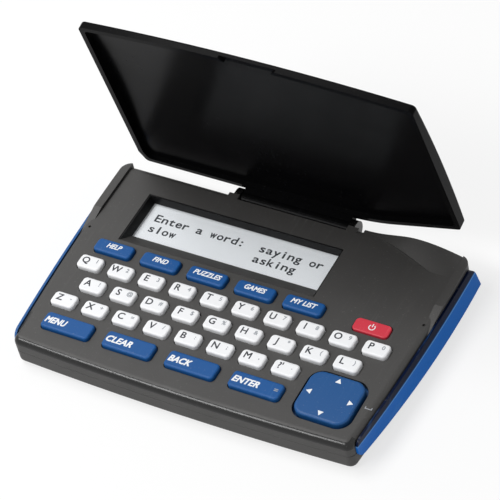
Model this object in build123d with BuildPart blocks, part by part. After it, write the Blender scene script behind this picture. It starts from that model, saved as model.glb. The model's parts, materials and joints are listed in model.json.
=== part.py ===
"""Pocket electronic dictionary: a keyboard base with a hinged lid, as separate pieces.

Millimetres.  The origin is on the table plane under the middle of the base; +X is to the
right of the reader, +Y runs from the front edge to the hinge, +Z is up.  The lid stands open.
"""
import os
from math import cos, radians, sin, sqrt

from build123d import *

# ---------------------------------------------------------------- driving dimensions
# base case
FOOT_HEIGHT = 0.6           # how far the feet lift the case off the table
FOOT_RADIUS = 4.0
FOOT_POCKET = 0.4
CASE_HEIGHT = 11.0          # underside to top face
SEAM_HEIGHT = 5.5           # underside to the joint between the two case halves
WALL = 1.6
PLATE = 1.6                 # thickness of the top face over the keys
FLOOR = 1.5
FRONT_MIDDLE_Y = -40.9      # the front edge is a shallow arc
FRONT_CORNER_Y = -39.5
REAR_Y = 40.3
HALF_WIDTH_FRONT = 60.6     # the sides are shallow arcs through three points
HALF_WIDTH_MIDDLE = 63.1
HALF_WIDTH_REAR = 63.8
FRONT_CORNER_RADIUS = 2.5
REAR_CORNER_RADIUS = 4.0
MIN_CORNER_RADIUS = 0.3     # of the outlines that lie inside it
TOP_EDGE_RADIUS = 2.4
BOTTOM_EDGE_RADIUS = 1.5
SEAM_CHAMFER = 0.25         # on both halves, so the joint shows as a fine groove
TONGUE_THICKNESS = 0.7      # locating rib of the lower half, inside the upper one
TONGUE_HEIGHT = 1.0
TONGUE_ROOT = 1.5
FIT = 0.15                  # clearance between pieces that slot together

# raised rails beside the lid, and the shoulder at the rear right corner
RAIL_HEIGHT = 1.0
RAIL_INNER_X = 60.9
RAIL_START_Y = 3.0
RAIL_RAMP = 16.0
DETENT_RADIUS = 0.5
DETENT_DEPTH = 0.6
SHOULDER_HEIGHT = 2.8
SHOULDER_FROM_X = 26.0
SHOULDER_PEAK_X = 45.5
SHOULDER_TO_X = 61.0
SHOULDER_DEPTH = 9.0
SHOULDER_FADE = 0.05        # what is left of it where it runs out
SHOULDER_GAP = 0.8          # room for the lid's edge as it swings

# side panels
PANEL_TOP_DROP = 0.7        # below the top face
PANEL_CREASE_DROP = 2.9
PANEL_BOTTOM_DROP = 8.1
PANEL_TOP_BULGE = 0.8       # outward of the case at the middle of the side
PANEL_CREASE_BULGE = 1.6
PANEL_BOTTOM_BULGE = 3.0
PANEL_END_BULGE = 0.75      # outward of the case at the front end
PANEL_FRONT_Y = -37.0
PANEL_REAR_Y = 38.3
PANEL_END_RADIUS = 3.0      # its corners, seen from the side
PANEL_ROOT_DEPTH = 8.0      # how far its blank reaches inside the case

# keys
KEY_PITCH = 11.5
ROW_PITCH = 8.36
TOP_ROW_Y = -3.4
KEY_WIDTH = 8.6
KEY_DEPTH = 5.3
KEY_RADIUS = 1.4
KEY_PROUD = 1.4             # key top above the top face
KEY_EDGE = 0.7
KEY_GAP = 0.3               # between a key and its hole
KEY_TRAVEL = 0.8
FLANGE = 0.6                # width of the lip that holds a key under the plate
FLANGE_THICKNESS = 0.7
FLANGE_CLEARANCE = 0.2
KEY_SKIN = 1.0              # material above and around the hollow in a key
FUNCTION_KEY_WIDTH = 13.8
FUNCTION_KEY_DEPTH = 5.3
FUNCTION_FIRST_X = -47.4
FUNCTION_PITCH = 17.45
FUNCTION_Y = 4.6
COMMAND_KEY_WIDTH = 17.8
COMMAND_KEY_DEPTH = 6.3
COMMAND_FIRST_X = -45.1
COMMAND_PITCH = 22.8
COMMAND_Y = -29.1
POWER_KEY_WIDTH = 12.3
POWER_KEY_DEPTH = 5.0
POWER_X = 46.5
POWER_Y = 4.1
POWER_PROUD = 0.7
PAD_X = 46.8
PAD_Y = -25.4
PAD_WIDTH = 18.6
PAD_DEPTH = 17.4
PAD_RADIUS = 4.0
PAD_PROUD = 1.3
PAD_EDGE = 0.8
PAD_GAP = 0.9
PAD_FLANGE = 1.5
PAD_FLANGE_THICKNESS = 0.5
PAD_ROCK_CLEARANCE = 0.9    # room above the pad's lip for rocking
PAD_DOME_REACH = 5.5
PIVOT_RADIUS = 2.0
PIVOT_CLEARANCE = 0.1

# display
WINDOW_LEFT_X = -49.0
WINDOW_RIGHT_X = 23.3
WINDOW_FRONT_Y = 9.3
WINDOW_REAR_Y = 30.6
RAMP_LENGTH = 5.2           # the front wall slopes down to the glass
LENS_DROP = 3.2             # top face to the window's top surface
LENS_THICKNESS = 0.7
LENS_LIP = 1.2
BEZEL_TAPER = 1.75          # side walls lean in by this
BEZEL_TOP = 0.45
BEZEL_DROP = 0.25
LCD_THICKNESS = 1.7
LCD_BORDER = 2.2
LCD_LEDGE = 2.3
FRAME_WALL = 2.0            # wall around the display under the top face
FRAME_FRONT_WALL = 1.0
FLEX_THICKNESS = 0.15
FLEX_WIDTH = 56.0
FLEX_OVERLAP = 1.2

# inner parts
BOARD_THICKNESS = 1.0
BOARD_TOP_DROP = 4.3        # top face to the circuit board's top
BOARD_MARGIN = 1.4          # inside the walls
BOARD_GAP = 0.6             # between the board and the glass
MAT_BORDER = 0.05           # around the lips of the outer keys
MAT_THICKNESS = 0.8
DOME_RADIUS = 1.2
DOME_TIP_RADIUS = 0.8
DOME_CLEARANCE = 0.1
BOSS_RADIUS = 2.2
LOWER_BOSS_RADIUS = 3.0
SCREW_RADIUS = 0.85
SCREW_HEAD_RADIUS = 1.8
SCREW_HEAD_HEIGHT = 1.2
SCREW_SINK = 0.5
SCREW_SLOT_REACH = 1.1
SCREW_SLOT_WIDTH = 0.4
SCREW_END_GAP = 0.8
BOSS_FRONT_X = 34.7
BOSS_FRONT_Y = -35.2
BOSS_REAR_X = 56.0
BOSS_REAR_Y = 32.5
FOOT_X = 47.0
FOOT_Y = 29.0
CELL_RADIUS = 10.0
CELL_THICKNESS = 3.2
CELL_X = 12.0
BAY_WIDTH = 50.0
BAY_DEPTH = 25.0
BAY_Y = 6.0
BAY_WALL = 1.2
COVER_THICKNESS = 1.4
COVER_GAP = 0.2
COVER_TAB = 2.0
COVER_TAB_X = 15.0
COVER_TAB_WIDTH = 6.0
COVER_TAB_THICKNESS = 0.8
COVER_SCREW_INSET = 3.0
COVER_SCREW_HEAD = 0.9
BAY_HEIGHT = 3.2
CONTACT_WIDTH = 5.0
CONTACT_REACH = 8.0
CONTACT_FOOT = 2.5
CHIP_HEIGHT = 1.1
CHIPS = [(14.0, 10.0, 12.0, 12.0), (26.0, 12.0, 8.0, 12.0), (5.0, 19.0, 4.0, 8.0), (24.0, 2.5, 6.0, 3.0),
         (14.0, 21.0, 5.0, 3.0)]   # right and behind the board's inner corner; width, depth
FOOT_EDGE = 0.2

# hinge and lid
HINGE_Y = 41.6
HINGE_Z = 8.2
BARREL_RADIUS = 3.0
BARREL_HALF = 19.8
BARREL_GAP = 0.4
EAR_THICKNESS = 2.2
EAR_GAP = 0.25
PIN_RADIUS = 1.0
PIN_REACH = 8.0
PIN_CLEARANCE = 0.08
LID_OPEN_ANGLE = 78.5       # how far the lid stands open
LID_GAP = 0.1               # rim above the top face when shut
LID_REAR_HALF = 60.2
LID_FRONT_HALF = 57.8
LID_REAR = 1.3              # rear edge in front of the hinge axis
LID_FRONT_CORNER = 78.4     # hinge axis to the front corners
LID_FRONT_MIDDLE = 81.4
LID_CHAMFER_X = 1.7
LID_CHAMFER_Y = 4.9
LID_CUT_FROM_X = 25.4       # the rear right edge runs forward from here
LID_CUT_DEPTH = 12.3
LID_CORNER_RADIUS = 1.6
LID_CUT_RADIUS = 60.0
LID_RIM = 1.8
LID_REAR_THICKNESS = 2.7
LID_MIDDLE_THICKNESS = 4.2
LID_FRONT_THICKNESS = 2.4
LID_SKIN = 1.1
LID_CREASE = 22.0           # fold line of the inner face, from the axis
LID_EDGE_RADIUS = 0.7
WEB_REAR = 2.0              # its back slopes down to the barrel
WEB_FRONT = 2.8
WEB_LEDGE = 0.3
WEB_DROP = 0.9              # below the lid's back
LID_CREASE_DEPTH = 2.6
NOTCH_X = 3.0               # finger notch in the lid's front rim
NOTCH_WIDTH = 25.0
NOTCH_DEPTH = 1.0
NOTCH_REACH = 2.6           # in from the rim's front
NOTCH_ANGLE = 45.0

BASE_Y = -3.4               # middle of the base, in front of the middle of the open whole

# ---------------------------------------------------------------- heights and places
UNDERSIDE_Z = FOOT_HEIGHT
TOP_Z = UNDERSIDE_Z + CASE_HEIGHT
SEAM_Z = UNDERSIDE_Z + SEAM_HEIGHT
PLATE_Z = TOP_Z - PLATE
EDGE_Z = TOP_Z - TOP_EDGE_RADIUS     # where the top edge starts to round
FLOOR_Z = UNDERSIDE_Z + FLOOR
BOARD_TOP_Z = TOP_Z - BOARD_TOP_DROP
BOARD_Z = BOARD_TOP_Z - BOARD_THICKNESS
MAT_TOP_Z = BOARD_TOP_Z + MAT_THICKNESS
FLANGE_TOP_Z = PLATE_Z - FLANGE_CLEARANCE
FLANGE_Z = FLANGE_TOP_Z - FLANGE_THICKNESS
PAD_FLANGE_TOP_Z = PLATE_Z - PAD_ROCK_CLEARANCE
PAD_FLANGE_Z = PAD_FLANGE_TOP_Z - PAD_FLANGE_THICKNESS
LENS_TOP_Z = TOP_Z - LENS_DROP
LENS_Z = LENS_TOP_Z - LENS_THICKNESS
LCD_Z = LENS_Z - LCD_THICKNESS
WINDOW_X = (WINDOW_LEFT_X + WINDOW_RIGHT_X) / 2
WINDOW_WIDTH = WINDOW_RIGHT_X - WINDOW_LEFT_X
GLASS_FRONT_Y = WINDOW_FRONT_Y + RAMP_LENGTH
GLASS_REAR_Y = WINDOW_REAR_Y - BEZEL_TAPER / 2
LENS_WIDTH = WINDOW_WIDTH + 2 * LENS_LIP
LENS_FRONT_Y = GLASS_FRONT_Y - LENS_LIP
LENS_REAR_Y = WINDOW_REAR_Y + LENS_LIP
LENS_Y = (LENS_FRONT_Y + LENS_REAR_Y) / 2
FRAME_WIDTH = LENS_WIDTH + 2 * FRAME_WALL
FRAME_DEPTH = LENS_REAR_Y + FRAME_WALL - WINDOW_FRONT_Y + FRAME_FRONT_WALL
FRAME_Y = LENS_REAR_Y + FRAME_WALL - FRAME_DEPTH / 2
LCD_FRONT_Y = GLASS_FRONT_Y - LCD_BORDER
LCD_REAR_Y = GLASS_REAR_Y + LCD_BORDER
LCD_WIDTH = WINDOW_WIDTH - 2 * BEZEL_TAPER + 2 * LCD_BORDER
BOARD_REAR_Y = LCD_FRONT_Y - LCD_LEDGE - BOARD_GAP
BOARD_STEP_X = WINDOW_RIGHT_X + LENS_LIP + FRAME_WALL + BOARD_GAP
MAT_REAR_Y = FUNCTION_Y + FUNCTION_KEY_DEPTH / 2 + FLANGE + MAT_BORDER
MAT_FRONT_Y = COMMAND_Y - COMMAND_KEY_DEPTH / 2 - FLANGE - MAT_BORDER
MAT_HALF_WIDTH = 4.5 * KEY_PITCH + KEY_WIDTH / 2 + FLANGE + MAT_BORDER
PIVOT_Z = BOARD_TOP_Z + PIVOT_RADIUS + PIVOT_CLEARANCE
DETENT_Y = RAIL_START_Y + RAIL_RAMP / 2
PANEL_ROOT_X = HALF_WIDTH_FRONT - PANEL_ROOT_DEPTH
BAY_FRONT_Y = BAY_Y - BAY_DEPTH / 2
BAY_REAR_Y = BAY_Y + BAY_DEPTH / 2
COVER_SCREW_Y = BAY_REAR_Y - COVER_SCREW_INSET
CELL_TOP_Z = UNDERSIDE_Z + COVER_THICKNESS + CELL_THICKNESS
CONTACT_Y = BAY_Y - CONTACT_REACH
NOTCH_FRONT_Y = HINGE_Y - BARREL_RADIUS - BARREL_GAP
EAR_INNER_X = BARREL_HALF + EAR_GAP
EAR_OUTER_X = EAR_INNER_X + EAR_THICKNESS
EAR_RADIUS = TOP_Z - HINGE_Z
LID_RIM_Z = TOP_Z + LID_GAP - HINGE_Z       # rim plane, from the hinge axis
WEB_TOP = LID_RIM_Z + LID_REAR_THICKNESS - WEB_DROP
FRONT_BOSSES = [(-BOSS_FRONT_X, BOSS_FRONT_Y), (BOSS_FRONT_X, BOSS_FRONT_Y)]
REAR_BOSSES = [(-BOSS_REAR_X, BOSS_REAR_Y), (BOSS_REAR_X, BOSS_REAR_Y)]
BOSSES = FRONT_BOSSES + REAR_BOSSES
FRONT_ARC = Edge.make_three_point_arc((-HALF_WIDTH_FRONT, FRONT_CORNER_Y), (0, FRONT_MIDDLE_Y),
                                      (HALF_WIDTH_FRONT, FRONT_CORNER_Y))
SIDE_ARC = Edge.make_three_point_arc((HALF_WIDTH_FRONT, FRONT_CORNER_Y), (HALF_WIDTH_MIDDLE, 0),
                                     (HALF_WIDTH_REAR, REAR_Y))
LID_ARC = Edge.make_three_point_arc((-LID_FRONT_HALF, -LID_FRONT_CORNER), (0, -LID_FRONT_MIDDLE),
                                    (LID_FRONT_HALF, -LID_FRONT_CORNER))
FEET = [(x * FOOT_X, y * FOOT_Y) for x in (-1, 1) for y in (-1, 1)]
CELLS = [(-CELL_X, BAY_Y), (CELL_X, BAY_Y)]


class KeySpot:
    """One key cap: its name, its place and its size on the top face."""

    def __init__(self, name, x, y, width, depth, proud=KEY_PROUD):
        self.name, self.x, self.y = name, x, y
        self.width, self.depth, self.proud = width, depth, proud


LETTER_ROWS = [("qwertyuiop", 0.0), ("asdfghjkl", 0.5), ("zxcvbnm", 0.0)]
FIRST_LETTER_X = -4.5 * KEY_PITCH
KEYS = []
for row, (letters, shift) in enumerate(LETTER_ROWS):
    for column, letter in enumerate(letters):
        x = FIRST_LETTER_X + (column + shift) * KEY_PITCH
        KEYS.append(KeySpot(f"key_{letter}", x, TOP_ROW_Y - row * ROW_PITCH, KEY_WIDTH, KEY_DEPTH))
mark_x = FIRST_LETTER_X + len(LETTER_ROWS[2][0]) * KEY_PITCH
KEYS.append(KeySpot("key_query", mark_x, TOP_ROW_Y - 2 * ROW_PITCH, KEY_WIDTH, KEY_DEPTH))
for number in range(5):
    x = FUNCTION_FIRST_X + number * FUNCTION_PITCH
    KEYS.append(KeySpot(f"function_key_{number + 1}", x, FUNCTION_Y, FUNCTION_KEY_WIDTH,
                        FUNCTION_KEY_DEPTH))
for number, name in enumerate(["menu_key", "clear_key", "back_key", "enter_key"]):
    x = COMMAND_FIRST_X + number * COMMAND_PITCH
    KEYS.append(KeySpot(name, x, COMMAND_Y, COMMAND_KEY_WIDTH, COMMAND_KEY_DEPTH))
KEYS.append(KeySpot("power_key", POWER_X, POWER_Y, POWER_KEY_WIDTH, POWER_KEY_DEPTH, POWER_PROUD))


def finish(part, name):
    """Move a finished piece from the base's middle to the origin, label it and write its file."""
    placed = part.moved(Location((0, BASE_Y, 0)))
    placed.label = name
    export_step(placed, f"parts/{name}.step")


def lid_outline(plane, inset=0.0):
    """Plan of the lid on a plane whose origin is on the hinge axis, smaller by inset all round."""
    lean = (LID_REAR_HALF - LID_FRONT_HALF) / (LID_FRONT_CORNER - LID_REAR - LID_CUT_DEPTH)
    front_half = LID_FRONT_HALF - lean * (LID_FRONT_MIDDLE - LID_FRONT_CORNER)
    with BuildSketch(plane, mode=Mode.PRIVATE) as plan:
        Polygon((-front_half, -LID_FRONT_MIDDLE), (-LID_REAR_HALF, -LID_REAR - LID_CHAMFER_Y),
                (LID_CHAMFER_X - LID_REAR_HALF, -LID_REAR), (LID_CUT_FROM_X, -LID_REAR),
                (LID_REAR_HALF, -LID_REAR - LID_CUT_DEPTH), (front_half, -LID_FRONT_MIDDLE), align=None)
        if inset:
            offset(amount=-inset, kind=Kind.INTERSECTION)
        with Locations((0, LID_ARC.arc_center.Y)):
            Circle(LID_ARC.radius - inset, mode=Mode.INTERSECT)
        cut_start = (LID_CUT_FROM_X, -LID_REAR)
        fillet(plan.vertices().sort_by_distance(cut_start)[1:], LID_CORNER_RADIUS)
        fillet(plan.vertices().sort_by_distance(cut_start)[0], LID_CUT_RADIUS - inset)
    return plan.sketch


def case_outline(inset=0.0):
    """Plan of the base case, smaller by inset all round."""
    with BuildSketch(mode=Mode.PRIVATE) as plan:
        with Locations((0, REAR_Y - inset - HALF_WIDTH_REAR)):
            Rectangle(3 * HALF_WIDTH_REAR, 2 * HALF_WIDTH_REAR)
        for arc, side in ((FRONT_ARC, 1), (SIDE_ARC, 1), (SIDE_ARC, -1)):
            with Locations((side * arc.arc_center.X, arc.arc_center.Y)):
                Circle(arc.radius - inset, mode=Mode.INTERSECT)
        fillet(plan.vertices().group_by(Axis.Y)[0], max(FRONT_CORNER_RADIUS - inset, MIN_CORNER_RADIUS))
        fillet(plan.vertices().group_by(Axis.Y)[-1], max(REAR_CORNER_RADIUS - inset, MIN_CORNER_RADIUS))
    return plan.sketch


os.makedirs("parts", exist_ok=True)

# ---------------------------------------------------------------- top case
with BuildPart() as rails:
    with BuildSketch(Plane.YZ.offset(-HALF_WIDTH_REAR)):
        Polygon((RAIL_START_Y, EDGE_Z), (REAR_Y, EDGE_Z), (REAR_Y, TOP_Z + RAIL_HEIGHT),
                (RAIL_START_Y + RAIL_RAMP, TOP_Z + RAIL_HEIGHT), align=None)
    extrude(amount=2 * HALF_WIDTH_REAR)
    with BuildSketch(Plane.XY.offset(EDGE_Z)):
        Rectangle(2 * RAIL_INNER_X, 4 * REAR_Y)
    extrude(amount=CASE_HEIGHT, mode=Mode.SUBTRACT)
    with BuildSketch(Plane.XY.offset(EDGE_Z)):
        add(case_outline())
    extrude(amount=CASE_HEIGHT, mode=Mode.INTERSECT)


def shoulder_section(plane, height):
    """Section of the rear right shoulder on a plane, standing in the plate."""
    with BuildSketch(plane, mode=Mode.PRIVATE) as section:
        with BuildLine():
            start, end = (SHOULDER_FROM_X, TOP_Z), (SHOULDER_TO_X, TOP_Z)
            Spline(start, (SHOULDER_PEAK_X, TOP_Z + height), end,
                   tangents=((1, 0), (1, 0), (1, -height / SHOULDER_DEPTH)))
            Polyline(end, (SHOULDER_TO_X, EDGE_Z), (SHOULDER_FROM_X, EDGE_Z), start)
        make_face()
    return section.sketch


with BuildPart() as shoulder:
    add(shoulder_section(Plane.XZ.offset(-REAR_Y), SHOULDER_HEIGHT))
    add(shoulder_section(Plane.XZ.offset(SHOULDER_DEPTH - REAR_Y), SHOULDER_FADE))
    loft(ruled=True)
    with BuildSketch(Plane.XY.offset(EDGE_Z)):
        add(case_outline())
    extrude(amount=CASE_HEIGHT, mode=Mode.INTERSECT)
    add(lid_outline(Plane((0, HINGE_Y, TOP_Z)), -SHOULDER_GAP))
    extrude(amount=CASE_HEIGHT, mode=Mode.SUBTRACT)

with BuildPart() as window_void:
    with BuildSketch(Plane.YZ.offset(WINDOW_LEFT_X)):
        Polygon((WINDOW_FRONT_Y, TOP_Z), (GLASS_FRONT_Y, LENS_TOP_Z), (WINDOW_REAR_Y, LENS_TOP_Z),
                (WINDOW_REAR_Y, TOP_Z), align=None)
    extrude(amount=WINDOW_WIDTH)

with BuildPart() as top_case:
    with BuildSketch(Plane.XY.offset(SEAM_Z)):
        add(case_outline())
    extrude(amount=TOP_Z - SEAM_Z)
    rim = top_case.faces().sort_by(Axis.Z)[-1].edges()
    fillet(rim, TOP_EDGE_RADIUS)
    chamfer(top_case.faces().sort_by(Axis.Z)[0].edges(), SEAM_CHAMFER)
    add(rails.part)
    add(shoulder.part)
    with BuildSketch(Plane.XY.offset(SEAM_Z)):
        add(case_outline(WALL))
    extrude(amount=PLATE_Z - SEAM_Z, mode=Mode.SUBTRACT)
    # wall around the display, under the plate
    with BuildSketch(Plane.XY.offset(LENS_Z)):
        with Locations((WINDOW_X, FRAME_Y)):
            Rectangle(FRAME_WIDTH, FRAME_DEPTH)
    extrude(amount=PLATE_Z - LENS_Z)
    add(window_void.part, mode=Mode.SUBTRACT)
    with BuildSketch(Plane.XY.offset(LENS_Z)):
        with Locations((WINDOW_X, LENS_Y)):
            Rectangle(LENS_WIDTH, LENS_REAR_Y - LENS_FRONT_Y)
    extrude(amount=LENS_THICKNESS, mode=Mode.SUBTRACT)
    # holes for the keys and the direction pad
    with BuildSketch(Plane.XY.offset(PLATE_Z)):
        for spot in KEYS:
            with Locations((spot.x, spot.y)):
                RectangleRounded(spot.width + 2 * KEY_GAP, spot.depth + 2 * KEY_GAP, KEY_RADIUS + KEY_GAP)
        with Locations((PAD_X, PAD_Y)):
            RectangleRounded(PAD_WIDTH + 2 * PAD_GAP, PAD_DEPTH + 2 * PAD_GAP, PAD_RADIUS + PAD_GAP)
    extrude(amount=PLATE, mode=Mode.SUBTRACT)
    # screw bosses
    with BuildSketch(Plane.XY.offset(PLATE_Z)):
        with Locations(BOSSES):
            Circle(BOSS_RADIUS)
    extrude(amount=BOARD_Z - PLATE_Z)
    with BuildSketch(Plane.XY.offset(BOARD_Z)):
        with Locations(BOSSES):
            Circle(SCREW_RADIUS)
    extrude(amount=PLATE_Z - BOARD_Z, mode=Mode.SUBTRACT)
    # recess for the lid's barrel, and the ears that carry its pins
    with BuildSketch(Plane.XY.offset(SEAM_Z)):
        with Locations((0, (NOTCH_FRONT_Y - WALL + REAR_Y) / 2)):
            Rectangle(2 * (EAR_OUTER_X + WALL), REAR_Y - NOTCH_FRONT_Y + WALL)
    extrude(amount=TOP_Z - SEAM_Z)
    with BuildSketch(Plane.XY.offset(SEAM_Z)):
        with Locations((0, (NOTCH_FRONT_Y + HINGE_Y) / 2)):
            Rectangle(2 * EAR_INNER_X, HINGE_Y - NOTCH_FRONT_Y)
    extrude(amount=TOP_Z - SEAM_Z, mode=Mode.SUBTRACT)
    for start_x in (-EAR_OUTER_X, EAR_INNER_X):
        with BuildSketch(Plane.YZ.offset(start_x)):
            with Locations((HINGE_Y, HINGE_Z)):
                Circle(EAR_RADIUS)
            with Locations(((NOTCH_FRONT_Y + HINGE_Y) / 2, (SEAM_Z + TOP_Z) / 2)):
                Rectangle(HINGE_Y - NOTCH_FRONT_Y, TOP_Z - SEAM_Z)
        extrude(amount=EAR_THICKNESS)
    with BuildSketch(Plane.YZ.offset(-EAR_OUTER_X)):
        with Locations((HINGE_Y, HINGE_Z)):
            Circle(PIN_RADIUS)
    extrude(amount=2 * EAR_OUTER_X, mode=Mode.SUBTRACT)
    # lid detents beside the rails
    with BuildSketch(Plane.XY.offset(TOP_Z)):
        with Locations((-RAIL_INNER_X, DETENT_Y), (RAIL_INNER_X, DETENT_Y)):
            Circle(DETENT_RADIUS)
    extrude(amount=-DETENT_DEPTH, mode=Mode.SUBTRACT)
finish(top_case.part, "top_case")

# ---------------------------------------------------------------- bottom case
with BuildPart() as bottom_case:
    with BuildSketch(Plane.XY.offset(UNDERSIDE_Z)):
        add(case_outline())
    extrude(amount=SEAM_Z - UNDERSIDE_Z)
    fillet(bottom_case.faces().sort_by(Axis.Z)[0].edges(), BOTTOM_EDGE_RADIUS)
    chamfer(bottom_case.faces().sort_by(Axis.Z)[-1].edges(), SEAM_CHAMFER)
    with BuildSketch(Plane.XY.offset(FLOOR_Z)):
        add(case_outline(WALL))
    extrude(amount=SEAM_Z - FLOOR_Z, mode=Mode.SUBTRACT)
    # locating tongue, broken at the hinge
    with BuildSketch(Plane.XY.offset(SEAM_Z - TONGUE_ROOT)):
        add(case_outline(WALL))
        add(case_outline(WALL + FIT + TONGUE_THICKNESS), mode=Mode.SUBTRACT)
    extrude(amount=TONGUE_ROOT)
    with BuildSketch(Plane.XY.offset(SEAM_Z)):
        add(case_outline(WALL + FIT))
        add(case_outline(WALL + FIT + TONGUE_THICKNESS), mode=Mode.SUBTRACT)
    extrude(amount=TONGUE_HEIGHT)
    with BuildSketch(Plane.XY.offset(SEAM_Z)):
        with Locations((0, REAR_Y)):
            Rectangle(2 * (EAR_OUTER_X + WALL + FIT), 2 * (REAR_Y - NOTCH_FRONT_Y + WALL + FIT))
    extrude(amount=TONGUE_HEIGHT, mode=Mode.SUBTRACT)
    # ledge under the hinge ears
    with BuildSketch(Plane.XY.offset(FLOOR_Z)):
        with Locations((0, (NOTCH_FRONT_Y - WALL + REAR_Y) / 2)):
            Rectangle(2 * (EAR_OUTER_X + WALL), REAR_Y - NOTCH_FRONT_Y + WALL)
    extrude(amount=SEAM_Z - FLOOR_Z)
    with BuildSketch(Plane.XY.offset(SEAM_Z)):
        with Locations((0, (NOTCH_FRONT_Y + HINGE_Y) / 2)):
            Rectangle(2 * (EAR_OUTER_X + FIT), HINGE_Y - NOTCH_FRONT_Y)
    extrude(amount=-(SEAM_Z - HINGE_Z + EAR_RADIUS + FIT), mode=Mode.SUBTRACT)
    # battery bay: an opening in the floor with a wall round it
    with BuildSketch(Plane.XY.offset(FLOOR_Z)):
        with Locations((0, BAY_Y)):
            Rectangle(BAY_WIDTH + 2 * BAY_WALL, BAY_DEPTH + 2 * BAY_WALL)
            Rectangle(BAY_WIDTH, BAY_DEPTH, mode=Mode.SUBTRACT)
    extrude(amount=BAY_HEIGHT)
    with BuildSketch(Plane.XY.offset(UNDERSIDE_Z)):
        with Locations((0, BAY_Y)):
            Rectangle(BAY_WIDTH, BAY_DEPTH)
    extrude(amount=FLOOR, mode=Mode.SUBTRACT)
    with BuildSketch(Plane.XY.offset(UNDERSIDE_Z + COVER_THICKNESS)):
        with Locations((0, COVER_SCREW_Y)):
            Circle(BOSS_RADIUS)
        with Locations((0, (COVER_SCREW_Y + BAY_REAR_Y) / 2)):
            Rectangle(2 * BOSS_RADIUS, BAY_REAR_Y - COVER_SCREW_Y)
    extrude(amount=FLOOR_Z + BAY_HEIGHT - UNDERSIDE_Z - COVER_THICKNESS)
    with BuildSketch(Plane.XY.offset(UNDERSIDE_Z + COVER_THICKNESS)):
        with Locations((0, COVER_SCREW_Y)):
            Circle(SCREW_RADIUS)
    extrude(amount=FLOOR_Z + BAY_HEIGHT - UNDERSIDE_Z - COVER_THICKNESS, mode=Mode.SUBTRACT)
    with BuildSketch(Plane.XY.offset(FLOOR_Z)):
        for x in (-COVER_TAB_X, COVER_TAB_X):
            with Locations((x, BAY_Y - BAY_DEPTH / 2)):
                Rectangle(COVER_TAB_WIDTH + 2 * FIT, 2 * (COVER_TAB + FIT))
    extrude(amount=COVER_TAB_THICKNESS + FIT, mode=Mode.SUBTRACT)
    # bosses under the circuit board, with countersunk ways for the case screws
    with BuildSketch(Plane.XY.offset(FLOOR_Z)):
        with Locations(BOSSES):
            Circle(LOWER_BOSS_RADIUS)
    extrude(amount=BOARD_Z - FLOOR_Z)
    with BuildSketch(Plane.XY.offset(UNDERSIDE_Z)):
        with Locations(BOSSES):
            Circle(SCREW_RADIUS + FIT)
    extrude(amount=BOARD_Z - UNDERSIDE_Z, mode=Mode.SUBTRACT)
    with BuildSketch(Plane.XY.offset(UNDERSIDE_Z)):
        with Locations(BOSSES):
            Circle(SCREW_HEAD_RADIUS + FIT)
    extrude(amount=SCREW_SINK + SCREW_HEAD_HEIGHT, mode=Mode.SUBTRACT)
    with BuildSketch(Plane.XY.offset(UNDERSIDE_Z)):
        with Locations(FEET):
            Circle(FOOT_RADIUS + FIT)
    extrude(amount=FOOT_POCKET, mode=Mode.SUBTRACT)
finish(bottom_case.part, "bottom_case")


# ---------------------------------------------------------------- side panels
def half_width_at(y):
    """Half width of the case at y."""
    return SIDE_ARC.arc_center.X + sqrt(SIDE_ARC.radius ** 2 - (y - SIDE_ARC.arc_center.Y) ** 2)


def panel_section(drop, bulge):
    """Plan of a side panel at a depth below the top face, reaching inside the case."""
    end_bulge = min(PANEL_END_BULGE, bulge)
    with BuildSketch(Plane.XY.offset(TOP_Z - drop), mode=Mode.PRIVATE) as section:
        with BuildLine():
            front = (half_width_at(PANEL_FRONT_Y) + end_bulge, PANEL_FRONT_Y)
            middle_y = (PANEL_FRONT_Y + PANEL_REAR_Y) / 2
            rear = (half_width_at(PANEL_REAR_Y) + bulge, PANEL_REAR_Y)
            ThreePointArc(front, (half_width_at(middle_y) + bulge, middle_y), rear)
            Polyline(rear, (PANEL_ROOT_X, PANEL_REAR_Y), (PANEL_ROOT_X, PANEL_FRONT_Y), front)
        make_face()
    return section.sketch


with BuildPart() as right_panel:
    add(panel_section(PANEL_BOTTOM_DROP, PANEL_BOTTOM_BULGE))
    add(panel_section(PANEL_CREASE_DROP, PANEL_CREASE_BULGE))
    add(panel_section(PANEL_TOP_DROP, PANEL_TOP_BULGE))
    loft(ruled=True)
    with BuildSketch(Plane.YZ.offset(PANEL_ROOT_X)):
        with Locations(((PANEL_FRONT_Y + PANEL_REAR_Y) / 2, TOP_Z - (PANEL_TOP_DROP + PANEL_BOTTOM_DROP) / 2)):
            RectangleRounded(PANEL_REAR_Y - PANEL_FRONT_Y, PANEL_BOTTOM_DROP - PANEL_TOP_DROP,
                             PANEL_END_RADIUS)
    extrude(amount=HALF_WIDTH_REAR, mode=Mode.INTERSECT)
    with BuildSketch(Plane.XY.offset(UNDERSIDE_Z)):
        add(case_outline())
    extrude(amount=CASE_HEIGHT, mode=Mode.SUBTRACT)
finish(right_panel.part, "right_side_panel")
finish(right_panel.part.mirror(Plane.YZ), "left_side_panel")

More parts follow.
